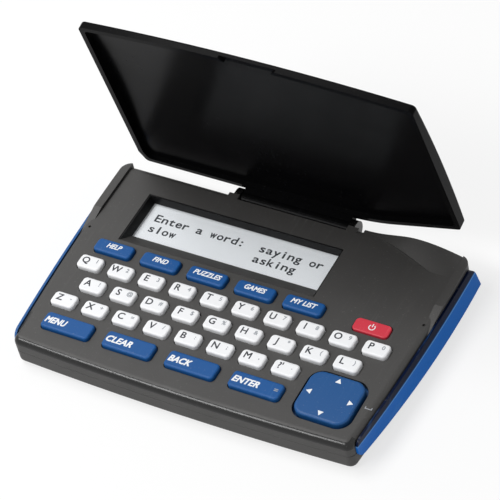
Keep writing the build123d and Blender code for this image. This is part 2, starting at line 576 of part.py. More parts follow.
# ---------------------------------------------------------------- display
with BuildPart() as bezel:
    with BuildSketch(Plane.XY.offset(LENS_TOP_Z)):
        with Locations((WINDOW_X, (WINDOW_FRONT_Y + WINDOW_REAR_Y) / 2)):
            Rectangle(WINDOW_WIDTH, WINDOW_REAR_Y - WINDOW_FRONT_Y)
    extrude(amount=LENS_DROP - BEZEL_DROP)
    with BuildSketch(Plane.XY.offset(LENS_TOP_Z)):
        with Locations((WINDOW_X, GLASS_REAR_Y - WINDOW_WIDTH / 2)):
            Rectangle(WINDOW_WIDTH - 2 * BEZEL_TAPER, WINDOW_WIDTH)
    with BuildSketch(Plane.XY.offset(TOP_Z - BEZEL_DROP)):
        with Locations((WINDOW_X, WINDOW_REAR_Y - BEZEL_TOP - WINDOW_WIDTH / 2)):
            Rectangle(WINDOW_WIDTH - 2 * BEZEL_TOP, WINDOW_WIDTH)
    loft(mode=Mode.SUBTRACT)
    add(window_void.part, mode=Mode.INTERSECT)
finish(bezel.part, "display_bezel")

with BuildPart() as lens:
    with BuildSketch(Plane.XY.offset(LENS_Z)):
        with Locations((WINDOW_X, LENS_Y)):
            Rectangle(LENS_WIDTH - 2 * FIT, LENS_REAR_Y - LENS_FRONT_Y - 2 * FIT)
    extrude(amount=LENS_THICKNESS)
finish(lens.part, "display_window")

with BuildPart() as lcd:
    with BuildSketch(Plane.XY.offset(LCD_Z)):
        with Locations((WINDOW_X, (LCD_FRONT_Y - LCD_LEDGE + LCD_REAR_Y) / 2)):
            Rectangle(LCD_WIDTH, LCD_REAR_Y - LCD_FRONT_Y + LCD_LEDGE)
    extrude(amount=LCD_THICKNESS / 2)
    with BuildSketch(Plane.XY.offset(LCD_Z + LCD_THICKNESS / 2)):
        with Locations((WINDOW_X, (LCD_FRONT_Y + LCD_REAR_Y) / 2)):
            Rectangle(LCD_WIDTH, LCD_REAR_Y - LCD_FRONT_Y)
    extrude(amount=LCD_THICKNESS / 2)
finish(lcd.part, "lcd_module")

with BuildPart() as flex:
    with BuildSketch(Plane.YZ.offset(WINDOW_X - FLEX_WIDTH / 2)):
        with BuildLine():
            ledge_z = LCD_Z + LCD_THICKNESS / 2
            Polyline((BOARD_REAR_Y - FLEX_OVERLAP, BOARD_TOP_Z), (BOARD_REAR_Y, BOARD_TOP_Z),
                     (LCD_FRONT_Y - LCD_LEDGE, ledge_z), (LCD_FRONT_Y - FIT, ledge_z),
                     (LCD_FRONT_Y - FIT, ledge_z + FLEX_THICKNESS),
                     (LCD_FRONT_Y - LCD_LEDGE, ledge_z + FLEX_THICKNESS),
                     (BOARD_REAR_Y, BOARD_TOP_Z + FLEX_THICKNESS),
                     (BOARD_REAR_Y - FLEX_OVERLAP, BOARD_TOP_Z + FLEX_THICKNESS), close=True)
        make_face()
    extrude(amount=FLEX_WIDTH)
finish(flex.part, "lcd_flex")

# ---------------------------------------------------------------- circuit board
with BuildPart() as board:
    with BuildSketch(Plane.XY.offset(BOARD_Z)):
        add(case_outline(WALL + BOARD_MARGIN))
        with Locations((BOARD_STEP_X - HALF_WIDTH_REAR, BOARD_REAR_Y + REAR_Y)):
            Rectangle(2 * HALF_WIDTH_REAR, 2 * REAR_Y, mode=Mode.SUBTRACT)
        with Locations(BOSSES):
            Circle(BOSS_RADIUS + FIT, mode=Mode.SUBTRACT)
    extrude(amount=BOARD_THICKNESS)
finish(board.part, "main_board")

with BuildPart() as chips:
    with BuildSketch(Plane.XY.offset(BOARD_TOP_Z)):
        for x, y, width, depth in CHIPS:
            with Locations((BOARD_STEP_X + x, BOARD_REAR_Y + y)):
                Rectangle(width, depth)
    extrude(amount=CHIP_HEIGHT)
finish(chips.part, "board_components")


def dome(x, y, ceiling):
    """One rubber dome of the key mat, ending a key's travel below the ceiling of its hollow."""
    tip = ceiling - KEY_TRAVEL - DOME_CLEARANCE
    with BuildPart(mode=Mode.PRIVATE) as bump:
        with Locations((x, y, MAT_TOP_Z)):
            Cone(DOME_RADIUS, DOME_TIP_RADIUS, tip - MAT_TOP_Z, align=(Align.CENTER, Align.CENTER, Align.MIN))
    return bump.part


with BuildPart() as mat:
    with BuildSketch(Plane.XY.offset(BOARD_TOP_Z)):
        with Locations((0, (MAT_FRONT_Y + MAT_REAR_Y) / 2)):
            Rectangle(2 * MAT_HALF_WIDTH, MAT_REAR_Y - MAT_FRONT_Y)
        with Locations((PAD_X, PAD_Y)):
            Rectangle(PAD_WIDTH + 2 * PAD_FLANGE, PAD_DEPTH + 2 * PAD_FLANGE, mode=Mode.SUBTRACT)
            Rectangle(PAD_WIDTH - 2 * KEY_SKIN - 2 * PAD_GAP, PAD_DEPTH - 2 * KEY_SKIN - 2 * PAD_GAP)
            Circle(PIVOT_RADIUS + PAD_GAP, mode=Mode.SUBTRACT)
    extrude(amount=MAT_THICKNESS)
    for spot in KEYS:
        add(dome(spot.x, spot.y, TOP_Z + spot.proud - KEY_SKIN))
    for x, y in ((-1, 0), (1, 0), (0, -1), (0, 1)):
        add(dome(PAD_X + x * PAD_DOME_REACH, PAD_Y + y * PAD_DOME_REACH, TOP_Z + PAD_PROUD - KEY_SKIN))
finish(mat.part, "key_mat")

# ---------------------------------------------------------------- keys
for spot in KEYS:
    with BuildPart() as key:
        with BuildSketch(Plane.XY.offset(FLANGE_Z)):
            with Locations((spot.x, spot.y)):
                RectangleRounded(spot.width, spot.depth, KEY_RADIUS)
        extrude(amount=TOP_Z + spot.proud - FLANGE_Z)
        fillet(key.faces().sort_by(Axis.Z)[-1].edges(), min(KEY_EDGE, spot.proud / 2))
        with BuildSketch(Plane.XY.offset(FLANGE_Z)):
            with Locations((spot.x, spot.y)):
                RectangleRounded(spot.width + 2 * FLANGE, spot.depth + 2 * FLANGE, KEY_RADIUS)
        extrude(amount=FLANGE_THICKNESS)
        with BuildSketch(Plane.XY.offset(FLANGE_Z)):
            with Locations((spot.x, spot.y)):
                Rectangle(spot.width - 2 * KEY_SKIN, spot.depth - 2 * KEY_SKIN)
        extrude(amount=TOP_Z + spot.proud - KEY_SKIN - FLANGE_Z, mode=Mode.SUBTRACT)
    finish(key.part, spot.name)

with BuildPart() as pad:
    with BuildSketch(Plane.XY.offset(PAD_FLANGE_Z)):
        with Locations((PAD_X, PAD_Y)):
            RectangleRounded(PAD_WIDTH, PAD_DEPTH, PAD_RADIUS)
    extrude(amount=TOP_Z + PAD_PROUD - PAD_FLANGE_Z)
    fillet(pad.faces().sort_by(Axis.Z)[-1].edges(), PAD_EDGE)
    with BuildSketch(Plane.XY.offset(PAD_FLANGE_Z)):
        with Locations((PAD_X, PAD_Y)):
            RectangleRounded(PAD_WIDTH + 2 * PAD_FLANGE, PAD_DEPTH + 2 * PAD_FLANGE, PAD_RADIUS + PAD_FLANGE)
    extrude(amount=PAD_FLANGE_THICKNESS)
    with BuildSketch(Plane.XY.offset(PAD_FLANGE_Z)):
        with Locations((PAD_X, PAD_Y)):
            RectangleRounded(PAD_WIDTH - 2 * KEY_SKIN, PAD_DEPTH - 2 * KEY_SKIN, PAD_RADIUS - KEY_SKIN)
    extrude(amount=TOP_Z + PAD_PROUD - KEY_SKIN - PAD_FLANGE_Z, mode=Mode.SUBTRACT)
    with BuildSketch(Plane.XY.offset(PIVOT_Z + PIVOT_RADIUS + PIVOT_CLEARANCE)):
        with Locations((PAD_X, PAD_Y)):
            Circle(PIVOT_RADIUS)
    extrude(until=Until.NEXT)
finish(pad.part, "direction_pad")

with BuildPart() as pivot:
    with Locations((PAD_X, PAD_Y, PIVOT_Z)):
        Sphere(PIVOT_RADIUS)
finish(pivot.part, "pad_pivot")

# ---------------------------------------------------------------- battery and its cover
with BuildPart() as cover:
    with BuildSketch(Plane.XY.offset(UNDERSIDE_Z)):
        with Locations((0, BAY_Y)):
            Rectangle(BAY_WIDTH - 2 * COVER_GAP, BAY_DEPTH - 2 * COVER_GAP)
    extrude(amount=COVER_THICKNESS)
    with BuildSketch(Plane.XY.offset(UNDERSIDE_Z + COVER_THICKNESS)):
        for x in (-COVER_TAB_X, COVER_TAB_X):
            with Locations((x, BAY_FRONT_Y + COVER_TAB / 2)):
                Rectangle(COVER_TAB_WIDTH, COVER_TAB)
    extrude(amount=FLOOR - COVER_THICKNESS)
    with BuildSketch(Plane.XY.offset(FLOOR_Z)):
        for x in (-COVER_TAB_X, COVER_TAB_X):
            with Locations((x, BAY_FRONT_Y)):
                Rectangle(COVER_TAB_WIDTH, 2 * COVER_TAB)
    extrude(amount=COVER_TAB_THICKNESS)
    with BuildSketch(Plane.XY.offset(UNDERSIDE_Z)):
        with Locations((0, COVER_SCREW_Y)):
            Circle(SCREW_RADIUS + FIT)
    extrude(amount=COVER_THICKNESS, mode=Mode.SUBTRACT)
    with BuildSketch(Plane.XY.offset(UNDERSIDE_Z)):
        with Locations((0, COVER_SCREW_Y)):
            Circle(SCREW_HEAD_RADIUS + FIT)
    extrude(amount=COVER_SCREW_HEAD, mode=Mode.SUBTRACT)
finish(cover.part, "battery_cover")

with BuildPart() as cells:
    with BuildSketch(Plane.XY.offset(UNDERSIDE_Z + COVER_THICKNESS)):
        with Locations(CELLS):
            Circle(CELL_RADIUS)
    extrude(amount=CELL_THICKNESS)
finish(cells.part, "coin_cells")

with BuildPart() as contacts:
    with BuildSketch(Plane.YZ.offset(-CELL_X - CONTACT_WIDTH / 2)):
        with BuildLine():
            low, high = CELL_TOP_Z, BOARD_Z
            Polyline((BAY_Y, low), (CONTACT_Y, low), (CONTACT_Y, high - FLEX_THICKNESS),
                     (CONTACT_Y - CONTACT_FOOT, high - FLEX_THICKNESS), (CONTACT_Y - CONTACT_FOOT, high),
                     (CONTACT_Y + FLEX_THICKNESS, high), (CONTACT_Y + FLEX_THICKNESS, low + FLEX_THICKNESS),
                     (BAY_Y, low + FLEX_THICKNESS), close=True)
        make_face()
    extrude(amount=CONTACT_WIDTH)
    mirror(about=Plane.YZ)
finish(contacts.part, "battery_contacts")


# ---------------------------------------------------------------- fasteners, feet and pins
def screw(x, y, head_z, head_height, length):
    """A round head machine screw standing head down."""
    with BuildPart(mode=Mode.PRIVATE) as body:
        with Locations((x, y, head_z)):
            Cylinder(SCREW_HEAD_RADIUS, head_height, align=(Align.CENTER, Align.CENTER, Align.MIN))
            Cylinder(SCREW_RADIUS, length, align=(Align.CENTER, Align.CENTER, Align.MIN))
            Box(2 * SCREW_SLOT_REACH, SCREW_SLOT_WIDTH, head_height, mode=Mode.SUBTRACT)
            Box(SCREW_SLOT_WIDTH, 2 * SCREW_SLOT_REACH, head_height, mode=Mode.SUBTRACT)
    return body.part


with BuildPart() as case_screws:
    for x, y in BOSSES:
        add(screw(x, y, UNDERSIDE_Z + SCREW_SINK, SCREW_HEAD_HEIGHT, PLATE_Z - SCREW_END_GAP - UNDERSIDE_Z
                  - SCREW_SINK))
finish(case_screws.part, "case_screws")

finish(screw(0, COVER_SCREW_Y, UNDERSIDE_Z + FIT, COVER_SCREW_HEAD - FIT,
             FLOOR_Z + BAY_HEIGHT - UNDERSIDE_Z - FIT), "battery_cover_screw")

with BuildPart() as feet:
    with BuildSketch(Plane.XY):
        with Locations(FEET):
            Circle(FOOT_RADIUS)
    extrude(amount=FOOT_HEIGHT + FOOT_POCKET)
    fillet(feet.faces().sort_by(Axis.Z)[:len(FEET)].edges(), FOOT_EDGE)
finish(feet.part, "rubber_feet")

with BuildPart() as pins:
    with BuildSketch(Plane.YZ.offset(EAR_INNER_X - PIN_REACH)):
        with Locations((HINGE_Y, HINGE_Z)):
            Circle(PIN_RADIUS)
    extrude(amount=PIN_REACH + EAR_THICKNESS)
    mirror(about=Plane.YZ)
finish(pins.part, "hinge_pins")

# ---------------------------------------------------------------- lid
# lid_plane lies at the hinge axis, parallel to the lid: its Y runs back along the lid and its Z
# points out through the lid's back.  lid_side looks along the hinge axis with the same Y and Z.
OPEN = radians(LID_OPEN_ANGLE)
lid_plane = Plane(origin=(0, HINGE_Y, HINGE_Z), x_dir=(1, 0, 0), z_dir=(0, sin(OPEN), cos(OPEN)))
lid_side = Plane(origin=(0, HINGE_Y, HINGE_Z), x_dir=(0, cos(OPEN), -sin(OPEN)), z_dir=(1, 0, 0))


with BuildPart() as lid:
    add(lid_outline(lid_plane.offset(LID_RIM_Z)))
    extrude(amount=2 * LID_MIDDLE_THICKNESS, dir=lid_plane.z_dir)
    with BuildSketch(lid_side.offset(-LID_REAR_HALF)):
        with BuildLine():
            rear = (0, LID_RIM_Z + LID_REAR_THICKNESS)
            front = (-LID_FRONT_MIDDLE - LID_REAR, LID_RIM_Z + LID_FRONT_THICKNESS)
            ThreePointArc(rear, (-LID_FRONT_MIDDLE / 2, LID_RIM_Z + LID_MIDDLE_THICKNESS), front)
            Polyline(front, (-LID_FRONT_MIDDLE - LID_REAR, 0), (0, 0), rear)
        make_face()
    extrude(amount=2 * LID_REAR_HALF, mode=Mode.INTERSECT)
    crown = lid.faces().filter_by(GeomType.CYLINDER).sort_by(SortBy.AREA)[-1]
    fillet(crown.edges(), LID_EDGE_RADIUS)
    # barrel and the web that joins it to the lid
    with BuildSketch(lid_side.offset(-BARREL_HALF)):
        Circle(BARREL_RADIUS)
        Polygon((-WEB_FRONT, 0), (-WEB_FRONT, WEB_TOP), (WEB_LEDGE - LID_REAR, WEB_TOP), (WEB_REAR, WEB_REAR),
                (0, 0), align=None)
    extrude(amount=2 * BARREL_HALF)
    # hollow of the inner face, folded along the crease
    with BuildSketch(lid_side.offset(-LID_REAR_HALF)):
        with BuildLine():
            floor_rear = (0, LID_RIM_Z + LID_REAR_THICKNESS - LID_SKIN)
            crease = (-LID_CREASE, LID_RIM_Z + LID_CREASE_DEPTH)
            floor_front = (-LID_FRONT_MIDDLE, LID_RIM_Z + LID_FRONT_THICKNESS - LID_SKIN)
            floor_middle = (-(LID_FRONT_MIDDLE + LID_CREASE) / 2, LID_RIM_Z + LID_MIDDLE_THICKNESS - LID_SKIN)
            Polyline((0, 0), floor_rear, crease)
            ThreePointArc(crease, floor_middle, floor_front)
            Polyline(floor_front, (-LID_FRONT_MIDDLE, 0), (0, 0))
        make_face()
    hollow_profile = extrude(amount=2 * LID_REAR_HALF, mode=Mode.PRIVATE)
    add(lid_outline(lid_plane.offset(LID_RIM_Z), LID_RIM))
    hollow_plan = extrude(amount=2 * LID_MIDDLE_THICKNESS, dir=lid_plane.z_dir, both=True, mode=Mode.PRIVATE)
    add(hollow_profile & hollow_plan, mode=Mode.SUBTRACT)
    with BuildSketch(lid_side.offset(-BARREL_HALF)):
        Circle(PIN_RADIUS + PIN_CLEARANCE)
    extrude(amount=2 * BARREL_HALF, mode=Mode.SUBTRACT)
    # finger notch in the front rim
    with BuildSketch(lid_plane.offset(LID_RIM_Z - NOTCH_DEPTH)):
        with Locations((NOTCH_X, -LID_FRONT_MIDDLE)):
            Trapezoid(NOTCH_WIDTH, 2 * NOTCH_REACH, NOTCH_ANGLE)
    extrude(amount=2 * NOTCH_DEPTH, mode=Mode.SUBTRACT)
finish(lid.part, "lid_shell")
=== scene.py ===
"""Looks of the electronic dictionary: finishes, printed legends, display, lights and camera."""

import json
import logging
from dataclasses import asdict, dataclass, replace
from enum import Enum
from math import cos, pi, radians, sin

import bmesh
import bpy
from mathutils import Matrix, Vector


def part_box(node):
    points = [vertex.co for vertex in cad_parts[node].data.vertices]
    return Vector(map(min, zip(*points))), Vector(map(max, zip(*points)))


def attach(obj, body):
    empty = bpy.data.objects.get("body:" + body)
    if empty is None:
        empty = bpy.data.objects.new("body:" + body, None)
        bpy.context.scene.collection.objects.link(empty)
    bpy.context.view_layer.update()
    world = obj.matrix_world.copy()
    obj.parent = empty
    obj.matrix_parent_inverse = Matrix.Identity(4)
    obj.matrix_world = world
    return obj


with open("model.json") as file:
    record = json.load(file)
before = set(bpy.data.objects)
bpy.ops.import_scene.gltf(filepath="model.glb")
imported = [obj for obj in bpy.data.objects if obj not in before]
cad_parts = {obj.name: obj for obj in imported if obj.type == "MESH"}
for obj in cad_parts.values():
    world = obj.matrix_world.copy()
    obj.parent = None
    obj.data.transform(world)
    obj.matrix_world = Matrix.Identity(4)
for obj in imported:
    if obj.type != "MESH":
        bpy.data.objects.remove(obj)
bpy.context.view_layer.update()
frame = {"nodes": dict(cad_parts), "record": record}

LOG = logging.getLogger("dictionary")
MM = 0.001
INK_SINK = 0.00003  # how deep a printed mark reaches into the surface under it
INK_PROUD = 0.00003  # how far it stands above
INK_THICKNESS = INK_SINK + INK_PROUD
INK_STEP = INK_PROUD / 20  # how much higher each copy of a thickened print lies
WELD_DISTANCE = 0.000001  # corners nearer to each other than this become one
ARC_STEPS = 28

Colour = tuple[float, float, float, float]
Triple = tuple[float, float, float]
Socket = bpy.types.NodeSocket
Sockets = bpy.types.bpy_prop_collection


def shade(red: int, green: int, blue: int) -> Colour:
    """Turn a display colour into the linear colour that a shader takes.

    Args:
        red: Red from 0 to 255.
        green: Green from 0 to 255.
        blue: Blue from 0 to 255.

    Returns:
        The linear colour with an alpha of 1.
    """
    parts = [level / 255 for level in (red, green, blue)]
    # The display's own curve: straight near black, a power above.
    linear = [p / 12.92 if p <= 0.04045 else ((p + 0.055) / 1.055) ** 2.4 for p in parts]
    return linear[0], linear[1], linear[2], 1.0


class Slot(Enum):
    """Material slots of the record."""

    CASE = "case_grey"
    LID = "lid_black"
    PANEL = "panel_blue"
    BEZEL = "bezel_black"
    WINDOW = "window_clear"
    DISPLAY = "display_panel"
    FLEX = "flex_film"
    BOARD = "board_green"
    CHIP = "chip_black"
    MAT = "mat_rubber"
    FOOT = "foot_rubber"
    SCREW = "screw_steel"
    CELL = "cell_steel"
    CONTACT = "contact_brass"
    KEY_WHITE = "key_white"
    KEY_BLUE = "key_blue"
    KEY_RED = "key_red"
    PAD = "pad_blue"


class Align(Enum):
    """Which part of a printed word stands at its place."""

    LEFT = "left"
    CENTRE = "centre"


# ---------------------------------------------------------------------------
# Shader bench and shared effects
# ---------------------------------------------------------------------------


class Bench:
    """Adds and joins the nodes of one shader tree."""

    # A Mix node's sockets by kind: the factor and both values, then the result.
    MIX_PLACES = {"RGBA": ((0, 6, 7), 2), "FLOAT": ((0, 2, 3), 0)}

    def __init__(self, tree: bpy.types.NodeTree) -> None:
        """Keep the tree to work on."""
        self.tree = tree

    def add(self, kind: str, **settings: object) -> bpy.types.Node:
        """Add a node.

        Args:
            kind: The node's type name.
            settings: Properties to set on it.

        Returns:
            The new node.
        """
        node = self.tree.nodes.new(kind)
        for name, value in settings.items():
            setattr(node, name, value)
        return node

    def join(self, source: Socket, target: Socket) -> None:
        """Link an output to an input."""
        self.tree.links.new(source, target)

    def feed(self, target: Socket, value: object) -> None:
        """Give an input its value, or link the output that gives it.

        Args:
            target: The input.
            value: A plain value or an output.
        """
        if isinstance(value, Socket):
            self.join(value, target)
        else:
            target.default_value = value

    def maths(self, operation: str, first: object, second: object = 0.0, third: object = 0.0,
              clamp: bool = False) -> Socket:
        """Add a Math node whose inputs are numbers or outputs of other nodes.

        Args:
            operation: The Math node's operation.
            first: First value or socket.
            second: Second value or socket.
            third: Third value or socket.
            clamp: Whether the result is kept between 0 and 1.

        Returns:
            The node's output.
        """
        node = self.add("ShaderNodeMath", operation=operation, use_clamp=clamp)
        for place, value in enumerate((first, second, third)):
            self.feed(node.inputs[place], value)
        return node.outputs[0]

    def product(self, *values: object) -> Socket:
        """Multiply two or more values.

        Args:
            values: Numbers or sockets.

        Returns:
            The product.
        """
        total = values[0]
        for value in values[1:]:
            total = self.maths("MULTIPLY", total, value)
        return total

    def above(self, value: object, threshold: float, gain: float) -> Socket:
        """Give how far a value is above a threshold, multiplied and kept between 0 and 1."""
        return self.maths("MULTIPLY", self.maths("SUBTRACT", value, threshold), gain, clamp=True)

    def noise(self, vector: Socket, scale: object = 1.0, detail: float = 2.0,
              roughness: float = 0.5) -> Socket:
        """Add a Noise Texture.

        Args:
            vector: Where the pattern is read.
            scale: The pattern's scale, a number or a socket.
            detail: Number of finer layers.
            roughness: How strong the finer layers are.

        Returns:
            The noise value.
        """
        node = self.add("ShaderNodeTexNoise")
        for name, value in (("Vector", vector), ("Scale", scale), ("Detail", detail),
                            ("Roughness", roughness)):
            self.feed(node.inputs[name], value)
        return node.outputs["Fac"]

    def bricks(self, face: Colour, line: Colour, line_width: float, size: tuple[float, float],
               offset: float = 0.0) -> Socket:
        """Add a pattern of rectangles with lines between them.

        Args:
            face: Colour of the rectangles.
            line: Colour of the lines.
            line_width: Width of the lines.
            size: Length and height of a rectangle.
            offset: How far every second row is shifted, as a share of the length.

        Returns:
            The pattern's colour.
        """
        node = self.add("ShaderNodeTexBrick", offset=offset, squash=1.0)
        for name, value in (("Vector", self.stretched((1.0, 1.0, 1.0))), ("Scale", 1.0),
                            ("Color1", face), ("Color2", face), ("Mortar", line),
                            ("Mortar Size", line_width), ("Brick Width", size[0]),
                            ("Row Height", size[1])):
            self.feed(node.inputs[name], value)
        return node.outputs["Color"]

    def spot(self) -> Socket:
        """Give object coordinates."""
        return self.add("ShaderNodeTexCoord").outputs["Object"]

    def stretched(self, scale: object) -> Socket:
        """Give object coordinates stretched along the axes.

        Args:
            scale: How much each axis is multiplied, three numbers or a socket.

        Returns:
            The mapped coordinates.
        """
        mapping = self.add("ShaderNodeMapping")
        self.join(self.spot(), mapping.inputs["Vector"])
        self.feed(mapping.inputs["Scale"], scale)
        return mapping.outputs["Vector"]

    def split(self, vector: Socket) -> Sockets:
        """Take a vector apart.

        Args:
            vector: The output that gives it.

        Returns:
            The outputs X, Y and Z.
        """
        node = self.add("ShaderNodeSeparateXYZ")
        self.join(vector, node.inputs[0])
        return node.outputs

    def blend(self, factor: object, first: object, second: object, kind: str = "RGBA") -> Socket:
        """Mix two colours or two numbers.

        Args:
            factor: How much of the second one, a number or a socket.
            first: First value or socket.
            second: Second value or socket.
            kind: RGBA for colours, FLOAT for numbers.

        Returns:
            The mixed value.
        """
        node = self.add("ShaderNodeMix", data_type=kind)
        places, result = self.MIX_PLACES[kind]
        for place, value in zip(places, (factor, first, second)):
            self.feed(node.inputs[place], value)
        return node.outputs[result]


def fresh_bench(holder: bpy.types.Material | bpy.types.World) -> Bench:
    """Give an empty shader tree to a material or a world.

    Args:
        holder: The material or world.

    Returns:
        The bench for its tree.
    """
    holder.use_nodes = True
    holder.node_tree.nodes.clear()
    return Bench(holder.node_tree)


class SharedEffect:
    """A node group that is built once and shared by the finishes."""

    NAME: str
    INPUTS: tuple[tuple[str, str], ...]
    OUTPUTS: tuple[tuple[str, str], ...]

    def tree(self) -> bpy.types.ShaderNodeTree:
        """Return the node group, built on first use."""
        return bpy.data.node_groups.get(self.NAME) or self._build()

    def _build(self) -> bpy.types.ShaderNodeTree:
        """Build the group with its named sockets.

        Returns:
            The new node group.
        """
        tree = bpy.data.node_groups.new(self.NAME, "ShaderNodeTree")
        for way, ports in (("INPUT", self.INPUTS), ("OUTPUT", self.OUTPUTS)):
            for name, kind in ports:
                tree.interface.new_socket(name, in_out=way, socket_type=f"NodeSocket{kind}")
        bench = Bench(tree)
        given = bench.add("NodeGroupInput").outputs
        self._wire(bench, given, bench.add("NodeGroupOutput").inputs)
        return tree

    def _wire(self, bench: Bench, given: Sockets, result: Sockets) -> None:
        """Add the group's nodes between its input sockets and its results."""
        raise NotImplementedError


class MouldGrain(SharedEffect):
    """The fine grain and uneven tone of a moulded or rolled surface."""

    NAME = "mould_grain"
    INPUTS = (("Color", "Color"), ("Mottling", "Float"), ("Grain Scale", "Float"),
              ("Roughness", "Float"), ("Roughness Spread", "Float"), ("Stretch", "Vector"))
    OUTPUTS = (("Color", "Color"), ("Roughness", "Float"), ("Height", "Float"))
    TONE_SCALE = 42.0
    POLISH_SCALE = 130.0
    MIDDLE = 0.5  # the noise's mean

    def _wire(self, bench: Bench, given: Sockets, result: Sockets) -> None:
        """Vary the colour, the roughness and the height.

        Args:
            bench: The group's bench.
            given: The group's inputs.
            result: The group's outputs.
        """
        spot = bench.stretched(given["Stretch"])
        grain = bench.noise(spot, given["Grain Scale"], detail=3.0, roughness=0.6)
        tone = bench.noise(spot, self.TONE_SCALE, detail=4.0, roughness=0.55)
        polish = bench.noise(spot, self.POLISH_SCALE)
        swing, speck, spread = (
            bench.product(bench.maths("SUBTRACT", value, self.MIDDLE), given[amount])
            for value, amount in ((tone, "Mottling"), (grain, "Mottling"),
                                  (polish, "Roughness Spread")))
        tint = bench.add("ShaderNodeHueSaturation")
        bench.join(given["Color"], tint.inputs["Color"])
        bench.join(bench.maths("ADD", bench.maths("ADD", swing, speck), 1.0), tint.inputs["Value"])
        bench.join(tint.outputs["Color"], result["Color"])
        bench.join(bench.maths("ADD", given["Roughness"], spread, clamp=True), result["Roughness"])
        bench.join(grain, result["Height"])


class HandlingWear(SharedEffect):
    """Fine rubbing marks, and a trace of dust on the faces that look up."""

    NAME = "handling_wear"
    INPUTS = (("Color", "Color"), ("Rubbed Color", "Color"), ("Dust Color", "Color"),
              ("Roughness", "Float"), ("Rubbing", "Float"), ("Dust", "Float"))
    OUTPUTS = (("Color", "Color"), ("Roughness", "Float"))
    MARK_STRETCH = (900.0, 70.0, 300.0)
    MARK_THRESHOLD = 0.6
    MARK_GAIN = 9.0
    ZONE_STRETCH = (40.0, 40.0, 40.0)
    ZONE_THRESHOLD = 0.45
    ZONE_GAIN = 5.0
    DUST_SCALE = 1500.0
    DUST_THRESHOLD = 0.68
    DUST_GAIN = 12.0
    RUBBED_ROUGHENING = 0.25
    DUST_ROUGHENING = 0.3

    def _wire(self, bench: Bench, given: Sockets, result: Sockets) -> None:
        """Lay the rubbed marks and the dust over the colour, and roughen both.

        Args:
            bench: The group's bench.
            given: The group's inputs.
            result: The group's outputs.
        """
        marks = bench.above(bench.noise(bench.stretched(self.MARK_STRETCH)),
                            self.MARK_THRESHOLD, self.MARK_GAIN)
        zones = bench.above(bench.noise(bench.stretched(self.ZONE_STRETCH)),
                            self.ZONE_THRESHOLD, self.ZONE_GAIN)
        rubbed = bench.product(marks, zones, given["Rubbing"])
        normal = bench.split(bench.add("ShaderNodeNewGeometry").outputs["Normal"])
        upward = bench.maths("MAXIMUM", normal["Z"], 0.0)
        specks = bench.noise(bench.stretched((1.0, 1.0, 1.0)), self.DUST_SCALE, detail=1.0)
        bits = bench.above(specks, self.DUST_THRESHOLD, self.DUST_GAIN)
        dust = bench.product(bits, upward, given["Dust"])
        worn = bench.blend(rubbed, given["Color"], given["Rubbed Color"])
        bench.join(bench.blend(dust, worn, given["Dust Color"]), result["Color"])
        rougher = bench.maths("MULTIPLY_ADD", rubbed, self.RUBBED_ROUGHENING, given["Roughness"])
        dusty = bench.product(dust, self.DUST_ROUGHENING)
        bench.join(bench.maths("ADD", rougher, dusty, clamp=True), result["Roughness"])


# ---------------------------------------------------------------------------
# Finishes
# ---------------------------------------------------------------------------


@dataclass(frozen=True)
class Finish:
    """A surface with grain, uneven tone, rubbing marks and dust."""

    name: str
    colour: Colour
    roughness: float = 0.5
    roughness_spread: float = 0.15
    grain_scale: float = 2600.0
    grain_depth: float = 0.00003
    mottling: float = 0.12
    stretch: Triple = (1.0, 1.0, 1.0)
    rubbed: Colour = (0.5, 0.5, 0.5, 1.0)
    rubbing: float = 0.15
    dust: float = 0.1
    metallic: float = 0.0
    specular: float = 0.5
    dust_colour: Colour = (0.45, 0.44, 0.42, 1.0)
    bump_strength: float = 0.6

    def material(self) -> bpy.types.Material:
        """Return the material, built on first use."""
        return bpy.data.materials.get(self.name) or self._build()

    def base(self, bench: Bench) -> object:
        """Give the colour before grain and wear: a plain one, or a finish's own pattern."""
        return self.colour

    def _build(self) -> bpy.types.Material:
        """Build the node material.

        Returns:
            The new material.
        """
        material = bpy.data.materials.new(self.name)
        material.diffuse_color = self.colour
        bench = fresh_bench(material)
        grain = bench.add("ShaderNodeGroup", node_tree=MouldGrain().tree())
        wear = bench.add("ShaderNodeGroup", node_tree=HandlingWear().tree())
        bump = bench.add("ShaderNodeBump")
        shader = bench.add("ShaderNodeBsdfPrincipled")
        settings = (
            (grain, "Color", self.base(bench)), (grain, "Mottling", self.mottling),
            (grain, "Grain Scale", self.grain_scale), (grain, "Roughness", self.roughness),
            (grain, "Roughness Spread", self.roughness_spread), (grain, "Stretch", self.stretch),
            (wear, "Color", grain.outputs["Color"]), (wear, "Rubbed Color", self.rubbed),
            (wear, "Dust Color", self.dust_colour), (wear, "Rubbing", self.rubbing),
            (wear, "Dust", self.dust), (wear, "Roughness", grain.outputs["Roughness"]),
            (bump, "Strength", self.bump_strength), (bump, "Distance", self.grain_depth),
            (bump, "Height", grain.outputs["Height"]), (shader, "Metallic", self.metallic),
            (shader, "Specular IOR Level", self.specular),
            (shader, "Base Color", wear.outputs["Color"]),
            (shader, "Roughness", self.sheen(bench, wear.outputs["Roughness"])),
            (shader, "Normal", bump.outputs["Normal"]),
        )
        for node, name, value in settings:
            bench.feed(node.inputs[name], value)
        self.finish_shader(bench, shader)
        output = bench.add("ShaderNodeOutputMaterial")
        bench.join(shader.outputs["BSDF"], output.inputs["Surface"])
        return material

    def sheen(self, bench: Bench, roughness: Socket) -> Socket:
        """Give the roughness after wear; a plain finish leaves it as it is."""
        return roughness

    def finish_shader(self, bench: Bench, shader: bpy.types.Node) -> None:
        """Set what only some finishes have; a plain one has nothing more."""


